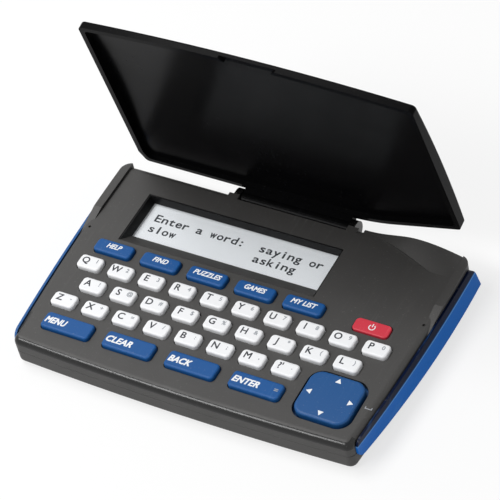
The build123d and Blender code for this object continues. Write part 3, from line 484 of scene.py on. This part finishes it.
@dataclass(frozen=True)
class BandedPlastic(Finish):
    """Matte plastic with black hinge ears, and a polished front edge painted black as a dark
    reflection.
    """

    # Black of the hinge ears, and of the painted dark reflection on the front edge.
    painted_reflection_and_ear_black: Colour = (0.004, 0.004, 0.004, 1.0)
    band_roughness: float = 0.2
    band_low_z: float = 9.15 * MM
    band_high_z: float = 11.5 * MM
    band_rear_y: float = -38.8 * MM
    ear_front_y: float = 34.6 * MM
    ear_low_z: float = 11.66 * MM
    ear_reach_x: float = 24.0 * MM
    rear_y: float = 36.98 * MM
    fade: float = 0.1 * MM

    def _past(self, bench: Bench, farther: object, nearer: object) -> Socket:
        """Give a mask, soft at its edge, of where the first measure is past the second."""
        beyond = bench.maths("SUBTRACT", farther, nearer)
        return bench.maths("DIVIDE", beyond, self.fade, clamp=True)

    def _painted_edge_and_ear_mask(self, bench: Bench) -> Socket:
        """Give a mask of the front edge, which carries painted dark reflection, and of the hinge
        ears.

        Args:
            bench: The material's bench.

        Returns:
            The mask.
        """
        place = bench.split(bench.spot())
        height, along = place["Z"], place["Y"]
        # The front edge, painted black to stand in for a dark reflection.
        edge = bench.product(self._past(bench, height, self.band_low_z),
                             self._past(bench, self.band_high_z, height),
                             self._past(bench, self.band_rear_y, along))
        across = bench.maths("ABSOLUTE", place["X"])
        inside = bench.maths("LESS_THAN", across, self.ear_reach_x)
        raised = bench.product(bench.maths("GREATER_THAN", height, self.ear_low_z),
                               bench.maths("GREATER_THAN", along, self.ear_front_y))
        behind = bench.maths("GREATER_THAN", along, self.rear_y)
        ears = bench.product(inside, bench.maths("MAXIMUM", raised, behind))
        return bench.maths("MAXIMUM", edge, ears)

    def base(self, bench: Bench) -> object:
        """Give the case's colour, with painted dark reflection on the front edge and black ears.
        """
        return bench.blend(self._painted_edge_and_ear_mask(bench), self.colour, self.painted_reflection_and_ear_black)

    def sheen(self, bench: Bench, roughness: Socket) -> Socket:
        """Polish the band and ears."""
        return bench.blend(self._painted_edge_and_ear_mask(bench), roughness, self.band_roughness, "FLOAT")


@dataclass(frozen=True)
class CreasedLacquer(Finish):
    """Blue lacquer, bright below the crease, deeper blue with painted shade above, painted
    highlight along it.
    """

    # The upper facet: a deeper blue with painted shade.
    above: Colour = (0.0, 0.0, 0.0, 1.0)
    # A painted highlight along the crease.
    painted_crease_highlight: Colour = (0.2, 0.4, 0.8, 1.0)
    crease_z: float = 8.7 * MM
    crease_width: float = 0.28 * MM
    turn_width: float = 0.5 * MM

    def base(self, bench: Bench) -> object:
        """Give the lacquer's colour by height, with painted shade above the crease and a painted
        highlight along it.

        Args:
            bench: The material's bench.

        Returns:
            The output with the colour.
        """
        offset = bench.maths("SUBTRACT", bench.split(bench.spot())["Z"], self.crease_z)
        upper = bench.maths("DIVIDE", offset, self.turn_width, clamp=True)
        distance = bench.maths("ABSOLUTE", offset)
        away = bench.maths("DIVIDE", distance, self.crease_width, clamp=True)
        # Painted shade over the upper facet.
        tone = bench.blend(upper, self.colour, self.above)
        # A painted highlight along the crease.
        return bench.blend(bench.maths("SUBTRACT", 1.0, away), tone, self.painted_crease_highlight)


@dataclass(frozen=True)
class ClearPlastic(Finish):
    """A thin clear window with faint smudges."""

    alpha: float = 0.03
    smudge_alpha: float = 0.04
    smudge_stretch: Triple = (60.0, 90.0, 60.0)

    def finish_shader(self, bench: Bench, shader: bpy.types.Node) -> None:
        """Make the window see-through, a little less where it is smudged.

        Args:
            bench: The material's bench.
            shader: The Principled BSDF.
        """
        smudge = bench.noise(bench.stretched(self.smudge_stretch), detail=3.0)
        veil = bench.maths("MULTIPLY_ADD", smudge, self.smudge_alpha, self.alpha, clamp=True)
        bench.join(veil, shader.inputs["Alpha"])


@dataclass(frozen=True)
class PixelPanel(Finish):
    """A reflective display with a faint pixel grid and a faint painted glow."""

    line: Colour = (0.5, 0.5, 0.5, 1.0)
    pixel: float = 0.5 * MM
    line_share: float = 0.08
    # Strength of the painted glow, though the display has no lamp of its own.
    glow: float = 0.09

    def base(self, bench: Bench) -> object:
        """Give the display's colour with its grid lines."""
        return bench.bricks(self.colour, self.line, self.pixel * self.line_share,
                            (self.pixel, self.pixel))

    def finish_shader(self, bench: Bench, shader: bpy.types.Node) -> None:
        """Make the display glow a little, a painted brightening, though it has no lamp."""
        shader.inputs["Emission Color"].default_value = self.colour
        shader.inputs["Emission Strength"].default_value = self.glow


@dataclass(frozen=True)
class BoardLacquer(Finish):
    """Green solder lacquer over copper tracks."""

    track: Colour = (0.1, 0.4, 0.15, 1.0)
    track_pitch: float = 2.4 * MM
    track_share: float = 0.09
    track_run: float = 5.0
    track_offset: float = 0.37

    def base(self, bench: Bench) -> object:
        """Give the lacquer's colour with paler tracks."""
        return bench.bricks(self.colour, self.track, self.track_pitch * self.track_share,
                            (self.track_pitch * self.track_run, self.track_pitch),
                            self.track_offset)


CASE_GREY = Finish("case_grey_matte", shade(58, 57, 56), roughness=0.5, grain_scale=2400.0,
                   grain_depth=0.00005, mottling=0.1, rubbed=shade(100, 99, 98), rubbing=0.12,
                   dust=0.06, specular=0.4)
# The top case's front edge carries painted dark reflection.
TOP_GREY = BandedPlastic(**asdict(replace(CASE_GREY, name="case_grey_banded")))
LID_BLACK = Finish("lid_black_gloss", shade(8, 8, 9), roughness=0.24, roughness_spread=0.1,
                   grain_scale=500.0, grain_depth=0.000008, mottling=0.25,
                   rubbed=shade(26, 26, 28), rubbing=0.2, dust=0.02, specular=0.03)
BEZEL_BLACK = Finish("bezel_black_satin", shade(16, 16, 17), roughness=0.35, grain_depth=0.00002,
                     rubbed=shade(50, 50, 52), specular=0.2)
# The panels' upper facets carry painted shade, and their creases a painted highlight.
PANEL_BLUE = CreasedLacquer("panel_blue_lacquer", shade(0, 102, 192), roughness=0.3,
                            roughness_spread=0.1, grain_scale=900.0, grain_depth=0.000012,
                            mottling=0.08, rubbed=shade(70, 130, 200), rubbing=0.25, dust=0.1,
                            specular=0.1, above=shade(3, 16, 44), painted_crease_highlight=shade(96, 156, 214))
# The left panel's upper facet is painted lighter, a painted highlight along its edge.
LEFT_PANEL_BLUE = replace(PANEL_BLUE, name="panel_blue_lacquer_left", above=shade(52, 96, 152),
                          painted_crease_highlight=shade(120, 170, 220))
WINDOW_CLEAR = ClearPlastic("window_clear_plastic", shade(230, 236, 240), roughness=0.12,
                            roughness_spread=0.06, grain_scale=400.0, grain_depth=0.000004,
                            mottling=0.02, rubbing=0.05, dust=0.05, specular=0.25)
# The display is brightened by a painted glow.
DISPLAY_PANEL = PixelPanel("display_pixel_panel", shade(232, 235, 238), roughness=0.6,
                           grain_depth=0.00001, mottling=0.03, rubbing=0.0, dust=0.0,
                           specular=0.15, line=shade(222, 226, 229))
DISPLAY_INK = Finish("display_segment_ink", shade(44, 47, 52), roughness=0.7, mottling=0.15,
                     grain_depth=0.000005, rubbing=0.0, dust=0.0, specular=0.1)
FLEX_FILM = Finish("flex_film_amber", shade(188, 122, 48), roughness=0.35, grain_scale=1400.0,
                   stretch=(0.05, 1.0, 1.0), mottling=0.35, grain_depth=0.00002)
BOARD_GREEN = BoardLacquer("board_green_lacquer", shade(28, 92, 52), roughness=0.4,
                           mottling=0.2, track=shade(62, 132, 78))
CHIP_BLACK = Finish("chip_black_resin", shade(30, 30, 32), roughness=0.6, mottling=0.3,
                    grain_depth=0.00004)
MAT_RUBBER = Finish("mat_grey_silicone", shade(46, 47, 49), roughness=0.75, mottling=0.12,
                    grain_depth=0.00004, specular=0.2)
FOOT_RUBBER = Finish("foot_black_rubber", shade(34, 34, 34), roughness=0.85, mottling=0.2,
                     grain_depth=0.00006, rubbed=shade(70, 70, 68), rubbing=0.4, specular=0.25)
SCREW_STEEL = Finish("screw_plated_steel", shade(150, 150, 152), roughness=0.32, metallic=1.0,
                     grain_scale=3000.0, grain_depth=0.00001, mottling=0.2)
CELL_STEEL = Finish("cell_brushed_steel", shade(190, 190, 192), roughness=0.25, metallic=1.0,
                    stretch=(0.04, 1.0, 1.0), grain_scale=3200.0, grain_depth=0.00001)
CONTACT_BRASS = Finish("contact_plated_brass", shade(190, 160, 96), roughness=0.3, metallic=1.0,
                       stretch=(1.0, 0.06, 1.0), grain_depth=0.00001, mottling=0.2)
KEY_WHITE = Finish("key_white_moulded", shade(240, 241, 243), roughness=0.42, grain_scale=2000.0,
                   grain_depth=0.00002, mottling=0.025, rubbed=shade(222, 221, 216), rubbing=0.2,
                   dust=0.1, specular=0.3)
KEY_BLUE = Finish("key_blue_moulded", shade(24, 82, 144), roughness=0.42, grain_scale=2000.0,
                  grain_depth=0.00002, mottling=0.08, rubbed=shade(70, 120, 176), rubbing=0.15,
                  specular=0.2)
KEY_RED = replace(KEY_BLUE, name="key_red_moulded", colour=shade(206, 56, 72), roughness=0.4,
                  rubbed=shade(222, 110, 116), rubbing=0.2, specular=0.3)
PAD_BLUE = Finish("pad_blue_satin", shade(28, 80, 136), roughness=0.36, roughness_spread=0.1,
                  grain_scale=1600.0, grain_depth=0.00002, mottling=0.07,
                  rubbed=shade(80, 124, 170), rubbing=0.15, specular=0.25)
WHITE_INK = Finish("legend_white_ink", shade(238, 240, 242), roughness=0.55, mottling=0.04,
                   grain_depth=0.00001, rubbing=0.05, dust=0.0, specular=0.2)
DARK_INK = replace(WHITE_INK, name="legend_dark_ink", colour=shade(56, 58, 64), mottling=0.15,
                   rubbing=0.1)
GREY_INK = replace(DARK_INK, name="legend_grey_ink", colour=shade(158, 162, 168), mottling=0.1)

SLOT_FINISHES = {
    Slot.CASE: CASE_GREY, Slot.LID: LID_BLACK, Slot.PANEL: PANEL_BLUE, Slot.BEZEL: BEZEL_BLACK,
    Slot.WINDOW: WINDOW_CLEAR, Slot.DISPLAY: DISPLAY_PANEL, Slot.FLEX: FLEX_FILM,
    Slot.BOARD: BOARD_GREEN, Slot.CHIP: CHIP_BLACK, Slot.MAT: MAT_RUBBER, Slot.FOOT: FOOT_RUBBER,
    Slot.SCREW: SCREW_STEEL, Slot.CELL: CELL_STEEL, Slot.CONTACT: CONTACT_BRASS,
    Slot.KEY_WHITE: KEY_WHITE, Slot.KEY_BLUE: KEY_BLUE, Slot.KEY_RED: KEY_RED, Slot.PAD: PAD_BLUE,
}


# ---------------------------------------------------------------------------
# Piece making
# ---------------------------------------------------------------------------


def put_in_scene(name: str, data: bpy.types.ID) -> bpy.types.Object:
    """Make an object and link it to the scene.

    Args:
        name: The object's name.
        data: Its mesh, text, light or camera.

    Returns:
        The new object.
    """
    made = bpy.data.objects.new(name, data)
    bpy.context.scene.collection.objects.link(made)
    return made


def dress(node: str, finish: Finish) -> None:
    """Give a carried-over part its finish.

    Args:
        node: Name of the part.
        finish: The finish for all its faces.
    """
    part = frame["nodes"][node]
    if not part.material_slots:
        part.data.materials.append(finish.material())
    for holder in part.material_slots:
        holder.material = finish.material()


def add_piece(name: str, mesh: bpy.types.Mesh, body: str, finish: Finish) -> bpy.types.Object:
    """Put a finished mesh into the scene on a body.

    Args:
        name: The piece's name.
        mesh: Its mesh, already in place.
        body: The body that it rides on.
        finish: Its finish.

    Returns:
        The new object.
    """
    mesh.name = name
    mesh.materials.clear()
    mesh.materials.append(finish.material())
    piece = put_in_scene(name, mesh)
    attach(piece, body)
    LOG.info("%s rides on %s", name, body)
    return piece


def kept_mesh(form: bmesh.types.BMesh) -> bpy.types.Mesh:
    """Turn a bmesh into a mesh as it is.

    Args:
        form: The bmesh, which is freed.

    Returns:
        The mesh.
    """
    mesh = bpy.data.meshes.new("form")
    form.to_mesh(mesh)
    form.free()
    return mesh


def mesh_from(form: bmesh.types.BMesh) -> bpy.types.Mesh:
    """Weld a bmesh's corners, turn its faces outwards and make it a mesh.

    Args:
        form: The bmesh, which is freed.

    Returns:
        The mesh.
    """
    bmesh.ops.remove_doubles(form, verts=form.verts, dist=WELD_DISTANCE)
    bmesh.ops.recalc_face_normals(form, faces=form.faces)
    return kept_mesh(form)


def bar(form: bmesh.types.BMesh, size: Triple, centre: Vector) -> None:
    """Add a block, given by its sides and its centre, to a bmesh."""
    place = Matrix.Translation(centre) @ Matrix.Diagonal((*size, 1.0))
    bmesh.ops.create_cube(form, size=1.0, matrix=place)


def arc_stroke(form: bmesh.types.BMesh, radius: float, width: float, start: float,
               sweep: float, centre: Vector) -> None:
    """Add a printed stroke bent round a centre.

    Args:
        form: The bmesh to add to.
        radius: Radius of the stroke's middle line.
        width: Width of the stroke.
        start: Angle at which it starts, in radians.
        sweep: Angle that it covers.
        centre: Centre of the bend.
    """
    spot = Matrix.Translation(centre) @ Matrix.Rotation(start, 4, "Z")
    section = Matrix.Translation((radius, 0, 0)) @ Matrix.Rotation(pi / 2, 4, "X")
    scale = Matrix.Diagonal((width, INK_THICKNESS, 1, 1))
    grid = bmesh.ops.create_grid(form, x_segments=1, y_segments=1, size=0.5,
                                 matrix=spot @ section @ scale)
    corners = grid["verts"]
    edges = {edge for corner in corners for edge in corner.link_edges}
    faces = {face for corner in corners for face in corner.link_faces}
    bmesh.ops.spin(form, geom=[*corners, *edges, *faces], cent=centre, axis=(0, 0, 1),
                   angle=sweep, steps=ARC_STEPS, use_merge=False, use_duplicate=False)


@dataclass(frozen=True)
class Lettering:
    """Printed words of one height, weight and slant.

    Four copies of the type's outline, shifted to the corners of a square whose side is the
    weight, thicken it.
    """

    cap_height: float
    weight: float
    slant: float = 0.0
    curve_steps: int = 3

    def _outline(self, words: str, size: float) -> bpy.types.Mesh:
        """Make the words a mesh at the origin.

        Args:
            words: What is printed.
            size: The size of the type.

        Returns:
            The mesh.
        """
        curve = bpy.data.curves.new("words", "FONT")
        curve.body = words
        curve.size = size
        curve.shear = self.slant
        curve.resolution_u = self.curve_steps
        curve.extrude = INK_THICKNESS / 2
        holder = put_in_scene("words", curve)
        bpy.context.view_layer.update()
        mesh = bpy.data.meshes.new_from_object(holder)
        bpy.data.objects.remove(holder)
        bpy.data.curves.remove(curve)
        return mesh

    def size(self) -> float:
        """Find the size of type at which a capital is as high as it should be.

        Returns:
            The size.
        """
        sample = self._outline("H", 1.0)
        heights = [corner.co.y for corner in sample.vertices]
        bpy.data.meshes.remove(sample)
        return self.cap_height / (max(heights) - min(heights))

    def mesh(self, words: str, place: Vector, align: Align = Align.CENTRE,
             width: float | None = None) -> bpy.types.Mesh:
        """Make the printed words, thin closed shapes on a level surface.

        Args:
            words: What is printed.
            place: Middle of the capitals' height, on the surface.
            align: Whether the place is the words' left end or their middle.
            width: Their width, where it isn't the type's own.

        Returns:
            The mesh, in place.
        """
        plain = self._outline(words, self.size())
        across = [corner.co.x for corner in plain.vertices]
        left, right = min(across), max(across)
        squeeze = (width - self.weight) / (right - left) if width else 1.0
        origin = left if align is Align.LEFT else (left + right) / 2
        middle = (INK_PROUD - INK_SINK) / 2
        plain.transform(Matrix.Diagonal((squeeze, 1.0, 1.0, 1.0)))
        form = bmesh.new()
        reach = self.weight / 2
        for number, (along, up) in enumerate(((-1, -1), (1, -1), (-1, 1), (1, 1))):
            before = set(form.verts)
            form.from_mesh(plain)
            new = [corner for corner in form.verts if corner not in before]
            shift = Vector((along * reach - origin * squeeze, up * reach - self.cap_height / 2,
                            middle + number * INK_STEP))
            bmesh.ops.translate(form, verts=new, vec=place + shift)
        bpy.data.meshes.remove(plain)
        return mesh_from(form)


def joined(parts: list[bpy.types.Mesh]) -> bpy.types.Mesh:
    """Join meshes into one.

    Args:
        parts: The meshes, which are removed.

    Returns:
        The joined mesh.
    """
    form = bmesh.new()
    for part in parts:
        form.from_mesh(part)
        bpy.data.meshes.remove(part)
    return kept_mesh(form)


def key_top(node: str) -> tuple[Vector, Vector]:
    """Find a key's top from its part.

    Args:
        node: Name of the key.

    Returns:
        The middle of the top, and the part's half size.
    """
    low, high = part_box(node)
    middle = (low + high) / 2
    return Vector((middle.x, middle.y, high.z)), (high - low) / 2


# ---------------------------------------------------------------------------
# Sub-assemblies
# ---------------------------------------------------------------------------


@dataclass
class Enclosure:
    """The finish of every part, and the mark printed on the case."""

    mark_x: float = 59.3 * MM
    mark_y: float = -27.9 * MM
    mark_z: float = 11.6 * MM
    mark_width: float = 2.4 * MM
    mark_height: float = 0.7 * MM
    mark_stroke: float = 0.28 * MM
    upright_share: float = 0.98  # the uprights are this much thinner, so that no faces coincide

    def finish_parts(self) -> None:
        """Dress every part with the finish of its slot, and two with finishes of their own."""
        for entry in frame["record"]["subparts"]:
            dress(entry["node"], SLOT_FINISHES[Slot(entry["material_slot"])])
            LOG.info("%s is finished as %s", entry["node"], entry["material_slot"])
        dress("top_case", TOP_GREY)
        dress("left_side_panel", LEFT_PANEL_BLUE)

    def bracket_mark(self) -> bpy.types.Object:
        """Print the small open bracket beside the direction pad.

        Returns:
            The printed mark.
        """
        form = bmesh.new()
        middle = Vector((self.mark_x, self.mark_y, self.mark_z))
        bar(form, (self.mark_width, self.mark_stroke, INK_THICKNESS), middle)
        reach = (self.mark_width - self.mark_stroke) / 2
        for side in (-1, 1):
            bar(form, (self.mark_stroke, self.mark_height, INK_THICKNESS * self.upright_share),
                middle + Vector((side * reach, self.mark_height / 2, 0)))
        return add_piece("bracket_mark", mesh_from(form), "base", GREY_INK)

    def build(self) -> None:
        """Dress the parts and print the mark."""
        self.finish_parts()
        self.bracket_mark()


@dataclass
class Display:
    """The two lines of words on the display."""

    left_x: float = -44.35 * MM
    pitch: float = 2.62 * MM
    line_z: float = 7.72 * MM
    rows: tuple[tuple[str, float], ...] = (
        ("Enter a word:  saying or", 21.3 * MM),
        ("slow           asking", 16.7 * MM),
    )
    type_face: Lettering = Lettering(2.95 * MM, weight=0.13 * MM)
    widening: float = 1.3
    widest: float = 2.25 * MM

    def line(self, words: str, y: float) -> bpy.types.Mesh:
        """Make one line with every character in its own cell.

        Args:
            words: The line's characters.
            y: Middle of its capitals.

        Returns:
            The line's mesh.
        """
        cells = []
        for column, character in enumerate(words):
            if character != " ":
                middle = Vector((self.left_x + (column + 0.5) * self.pitch, y, self.line_z))
                sample = self.type_face.mesh(character, middle)
                across = [corner.co.x for corner in sample.vertices]
                bpy.data.meshes.remove(sample)
                width = min(self.widening * (max(across) - min(across)), self.widest)
                cells.append(self.type_face.mesh(character, middle, width=width))
        return joined(cells)

    def build(self) -> None:
        """Show the lines."""
        for number, (words, y) in enumerate(self.rows, start=1):
            add_piece(f"display_line_{number}", self.line(words, y), "base", DISPLAY_INK)


@dataclass
class Keyboard:
    """The legends of the letter, function, command and power keys."""

    letter_shift: tuple[float, float] = (-1.75 * MM, 0.4 * MM)
    mark_shift: tuple[float, float] = (2.2 * MM, 0.85 * MM)
    letter_type: Lettering = Lettering(2.35 * MM, weight=0.1 * MM)
    mark_type: Lettering = Lettering(1.45 * MM, weight=0.09 * MM)
    function_type: Lettering = Lettering(1.8 * MM, weight=0.13 * MM, slant=0.25)
    command_type: Lettering = Lettering(2.2 * MM, weight=0.2 * MM, slant=0.25)
    function_lift: float = 0.4 * MM
    command_inset: float = 1.5 * MM
    equals_type: Lettering = Lettering(1.8 * MM, weight=0.1 * MM)
    equals_inset: float = 2.6 * MM
    equals_lift: float = 0.2 * MM
    ring_radius: float = 1.0 * MM
    ring_width: float = 0.3 * MM
    ring_start: float = radians(130)
    ring_sweep: float = radians(280)
    bar_length: float = 1.3 * MM
    bar_lift: float = 0.75 * MM
    marks: tuple[tuple[str, str], ...] = (
        ("qwertyuiop", "1234567890"), ("asdfghjkl", "!@#$%&*()"), ("zxcvbnm", "-+=/:;,"),
    )
    functions: tuple[tuple[str, float], ...] = (
        ("HELP", 5.4 * MM), ("FIND", 5.5 * MM), ("PUZZLES", 10.0 * MM), ("GAMES", 7.6 * MM),
        ("MY LIST", 9.0 * MM),
    )
    commands: tuple[tuple[str, float], ...] = (
        ("MENU", 7.8 * MM), ("CLEAR", 9.3 * MM), ("BACK", 8.0 * MM), ("ENTER", 9.2 * MM),
    )

    def letter_keys(self) -> None:
        """Print a letter and a small second mark on every letter key."""
        spots = [(f"key_{letter}", letter.upper(), mark) for letters, marks in self.marks
                 for letter, mark in zip(letters, marks)]
        spots.append(("key_query", "?'", "."))
        for node, letter, mark in spots:
            top, _ = key_top(node)
            main = self.letter_type.mesh(letter, top + Vector((*self.letter_shift, 0)))
            second = self.mark_type.mesh(mark, top + Vector((*self.mark_shift, 0)))
            add_piece(f"{node}_letter", main, node, DARK_INK)
            add_piece(f"{node}_mark", second, node, GREY_INK)

    def word_keys(self) -> None:
        """Print the words of the function and command keys."""
        for number, (words, width) in enumerate(self.functions, start=1):
            node = f"function_key_{number}"
            top, _ = key_top(node)
            place = top + Vector((0, self.function_lift, 0))
            mesh = self.function_type.mesh(words, place, width=width)
            add_piece(f"{node}_legend", mesh, node, WHITE_INK)
        for words, width in self.commands:
            node = f"{words.lower()}_key"
            top, half = key_top(node)
            place = top + Vector((self.command_inset - half.x, 0, 0))
            mesh = self.command_type.mesh(words, place, Align.LEFT, width)
            add_piece(f"{node}_legend", mesh, node, WHITE_INK)

    def enter_mark(self) -> None:
        """Print the small equals mark at the right of the enter key."""
        top, half = key_top("enter_key")
        place = top + Vector((half.x - self.equals_inset, self.equals_lift, 0))
        mesh = self.equals_type.mesh("=", place)
        add_piece("enter_key_mark", mesh, "enter_key", GREY_INK)

    def power_symbol(self) -> None:
        """Print the broken ring and bar on the power key."""
        top, _ = key_top("power_key")
        form = bmesh.new()
        arc_stroke(form, self.ring_radius, self.ring_width, self.ring_start, self.ring_sweep, top)
        bar(form, (self.ring_width, self.bar_length, INK_THICKNESS),
            top + Vector((0, self.bar_lift, 0)))
        add_piece("power_symbol", mesh_from(form), "power_key", WHITE_INK)

    def build(self) -> None:
        """Print everything on the keys."""
        self.letter_keys()
        self.word_keys()
        self.enter_mark()
        self.power_symbol()


@dataclass
class DirectionPad:
    """The four arrows of the direction pad."""

    reach_x: float = 6.9 * MM
    reach_y: float = 6.3 * MM
    arrow: float = 1.15 * MM

    def arrows(self) -> bpy.types.Object:
        """Print a triangle at each side, pointing outwards.

        Returns:
            The printed arrows.
        """
        top, _ = key_top("direction_pad")
        form = bmesh.new()
        for number in range(4):
            turn = number * pi / 2
            spot = top + Vector((self.reach_x * cos(turn), self.reach_y * sin(turn), -INK_SINK))
            place = Matrix.Translation(spot) @ Matrix.Rotation(turn - pi / 2, 4, "Z")
            made = bmesh.ops.create_circle(form, cap_ends=True, segments=3, radius=self.arrow,
                                           matrix=place)
            faces = {face for corner in made["verts"] for face in corner.link_faces}
            lifted = bmesh.ops.extrude_face_region(form, geom=list(faces))["geom"]
            corners = [item for item in lifted if isinstance(item, bmesh.types.BMVert)]
            bmesh.ops.translate(form, verts=corners, vec=(0, 0, INK_THICKNESS))
        return add_piece("pad_arrows", mesh_from(form), "direction_pad", WHITE_INK)

    def build(self) -> None:
        """Print the arrows."""
        self.arrows()


# ---------------------------------------------------------------------------
# Studio
# ---------------------------------------------------------------------------


@dataclass
class Studio:
    """The pale floor, the white surroundings, the lamps and the camera."""

    floor_half: float = 3.0
    floor_dark: Colour = (0.9, 0.9, 0.9, 1.0)
    floor_pale: Colour = (0.93, 0.93, 0.93, 1.0)
    floor_patches: Triple = (3.0, 3.0, 3.0)
    floor_glow: float = 0.7  # share of the floor's look that is plain white
    ambient: float = 0.4
    key_power: float = 6.6
    key_size: tuple[float, float] = (0.5, 0.5)
    key_place: Triple = (-0.5, 0.1, 1.05)
    strip_power: float = 4.2
    strip_size: tuple[float, float] = (0.5, 0.22)
    strip_place: Triple = (-0.42, -0.57, 0.75)
    lamp_target: Triple = (0.0, 0.0, 0.02)
    lens: float = 183.2
    sensor_width: float = 36.0
    clip_start: float = 0.01
    camera_place: Triple = (0.34075, -0.4182, 0.6067)
    azimuth: float = radians(38.52)
    elevation: float = radians(46.96)
    roll: float = radians(-13.97)

    def _seen_directly(self, bench: Bench) -> Socket:
        """Give a mask of the rays that show the background: straight, mirrored or let through.

        Args:
            bench: The tree's bench.

        Returns:
            The mask.
        """
        path = bench.add("ShaderNodeLightPath").outputs
        seen = bench.maths("ADD", path["Is Camera Ray"], path["Is Glossy Ray"])
        return bench.maths("ADD", seen, path["Is Transmission Ray"], clamp=True)

    def _send(self, bench: Bench, share: Socket, real: Socket, shown: Socket,
              output: str) -> None:
        """Mix what lights the scene with what is seen, and send it to the tree's output.

        Args:
            bench: The tree's bench.
            share: How much of the second shader is taken.
            real: The shader that lights the scene.
            shown: The shader that is seen.
            output: The output node's type name.
        """
        mix = bench.add("ShaderNodeMixShader")
        for place, value in enumerate((share, real, shown)):
            bench.join(value, mix.inputs[place])
        bench.join(mix.outputs["Shader"], bench.add(output).inputs["Surface"])

    def floor(self) -> None:
        """Lay the pale floor, which keeps the object's soft shadow."""
        form = bmesh.new()
        bmesh.ops.create_grid(form, x_segments=1, y_segments=1, size=self.floor_half)
        mesh = mesh_from(form)
        material = bpy.data.materials.new("floor_pale")
        bench = fresh_bench(material)
        paper = bench.add("ShaderNodeBsdfDiffuse")
        tone = bench.noise(bench.stretched(self.floor_patches))
        bench.join(bench.blend(tone, self.floor_dark, self.floor_pale), paper.inputs["Color"])
        glow = bench.add("ShaderNodeEmission")
        glow.inputs["Strength"].default_value = 1.0
        share = bench.product(self._seen_directly(bench), self.floor_glow)
        self._send(bench, share, paper.outputs["BSDF"], glow.outputs["Emission"],
                   "ShaderNodeOutputMaterial")
        mesh.materials.append(material)
        put_in_scene("floor", mesh)
        LOG.info("floor is laid")

    def surroundings(self) -> None:
        """Make the world an even soft light that looks white itself."""
        world = bpy.data.worlds.new("surroundings")
        bench = fresh_bench(world)
        light = bench.add("ShaderNodeBackground")
        white = bench.add("ShaderNodeBackground")
        for sky, strength in ((light, self.ambient), (white, 1.0)):
            sky.inputs["Color"].default_value = (1.0, 1.0, 1.0, 1.0)
            sky.inputs["Strength"].default_value = strength
        self._send(bench, self._seen_directly(bench), light.outputs["Background"],
                   white.outputs["Background"], "ShaderNodeOutputWorld")
        bpy.context.scene.world = world
        LOG.info("surroundings are lit")

    def lamp(self, name: str, place: Triple, size: tuple[float, float], power: float) -> None:
        """Hang a soft lamp that faces the object.

        Args:
            name: The lamp's name.
            place: Where it hangs.
            size: Its width and height.
            power: Its power in watts.
        """
        light = bpy.data.lights.new(name, "AREA")
        light.shape = "RECTANGLE"
        light.size, light.size_y = size
        light.energy = power
        spot = Vector(place)
        facing = (spot - Vector(self.lamp_target)).to_track_quat("Z", "Y").to_matrix().to_4x4()
        holder = put_in_scene(name, light)
        holder.matrix_world = Matrix.Translation(spot) @ facing
        LOG.info("%s hangs at %s", name, place)

    def camera(self) -> None:
        """Set the camera in front, to the right and above."""
        eye = bpy.data.cameras.new("camera")
        eye.lens = self.lens
        eye.sensor_width = self.sensor_width
        eye.clip_start = self.clip_start
        look = Vector((-sin(self.azimuth) * cos(self.elevation),
                       cos(self.azimuth) * cos(self.elevation), -sin(self.elevation)))
        level = Vector((cos(self.azimuth), sin(self.azimuth), 0))
        upright = level.cross(look)
        right = level * cos(self.roll) + upright * sin(self.roll)
        top = upright * cos(self.roll) - level * sin(self.roll)
        turn = Matrix((right, top, -look)).transposed().to_4x4()
        holder = put_in_scene("camera", eye)
        holder.matrix_world = Matrix.Translation(self.camera_place) @ turn
        bpy.context.scene.camera = holder
        LOG.info("camera is set")

    def build(self) -> None:
        """Set up the whole studio."""
        bpy.context.scene.view_settings.view_transform = "Standard"
        self.camera()
        self.floor()
        self.surroundings()
        self.lamp("key_lamp", self.key_place, self.key_size, self.key_power)
        self.lamp("strip_lamp", self.strip_place, self.strip_size, self.strip_power)


def write_sizes() -> None:
    """Bring the scene's placements up to date.
    """
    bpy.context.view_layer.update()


def main() -> None:
    """Build the studio and the sub-assemblies in order."""
    logging.basicConfig(level=logging.INFO, format="%(name)s: %(message)s")
    Studio().build()
    for assembly in (Enclosure(), Display(), Keyboard(), DirectionPad()):
        assembly.build()
        LOG.info("%s is done", type(assembly).__name__)
    write_sizes()


if __name__ == "__main__":
    main()
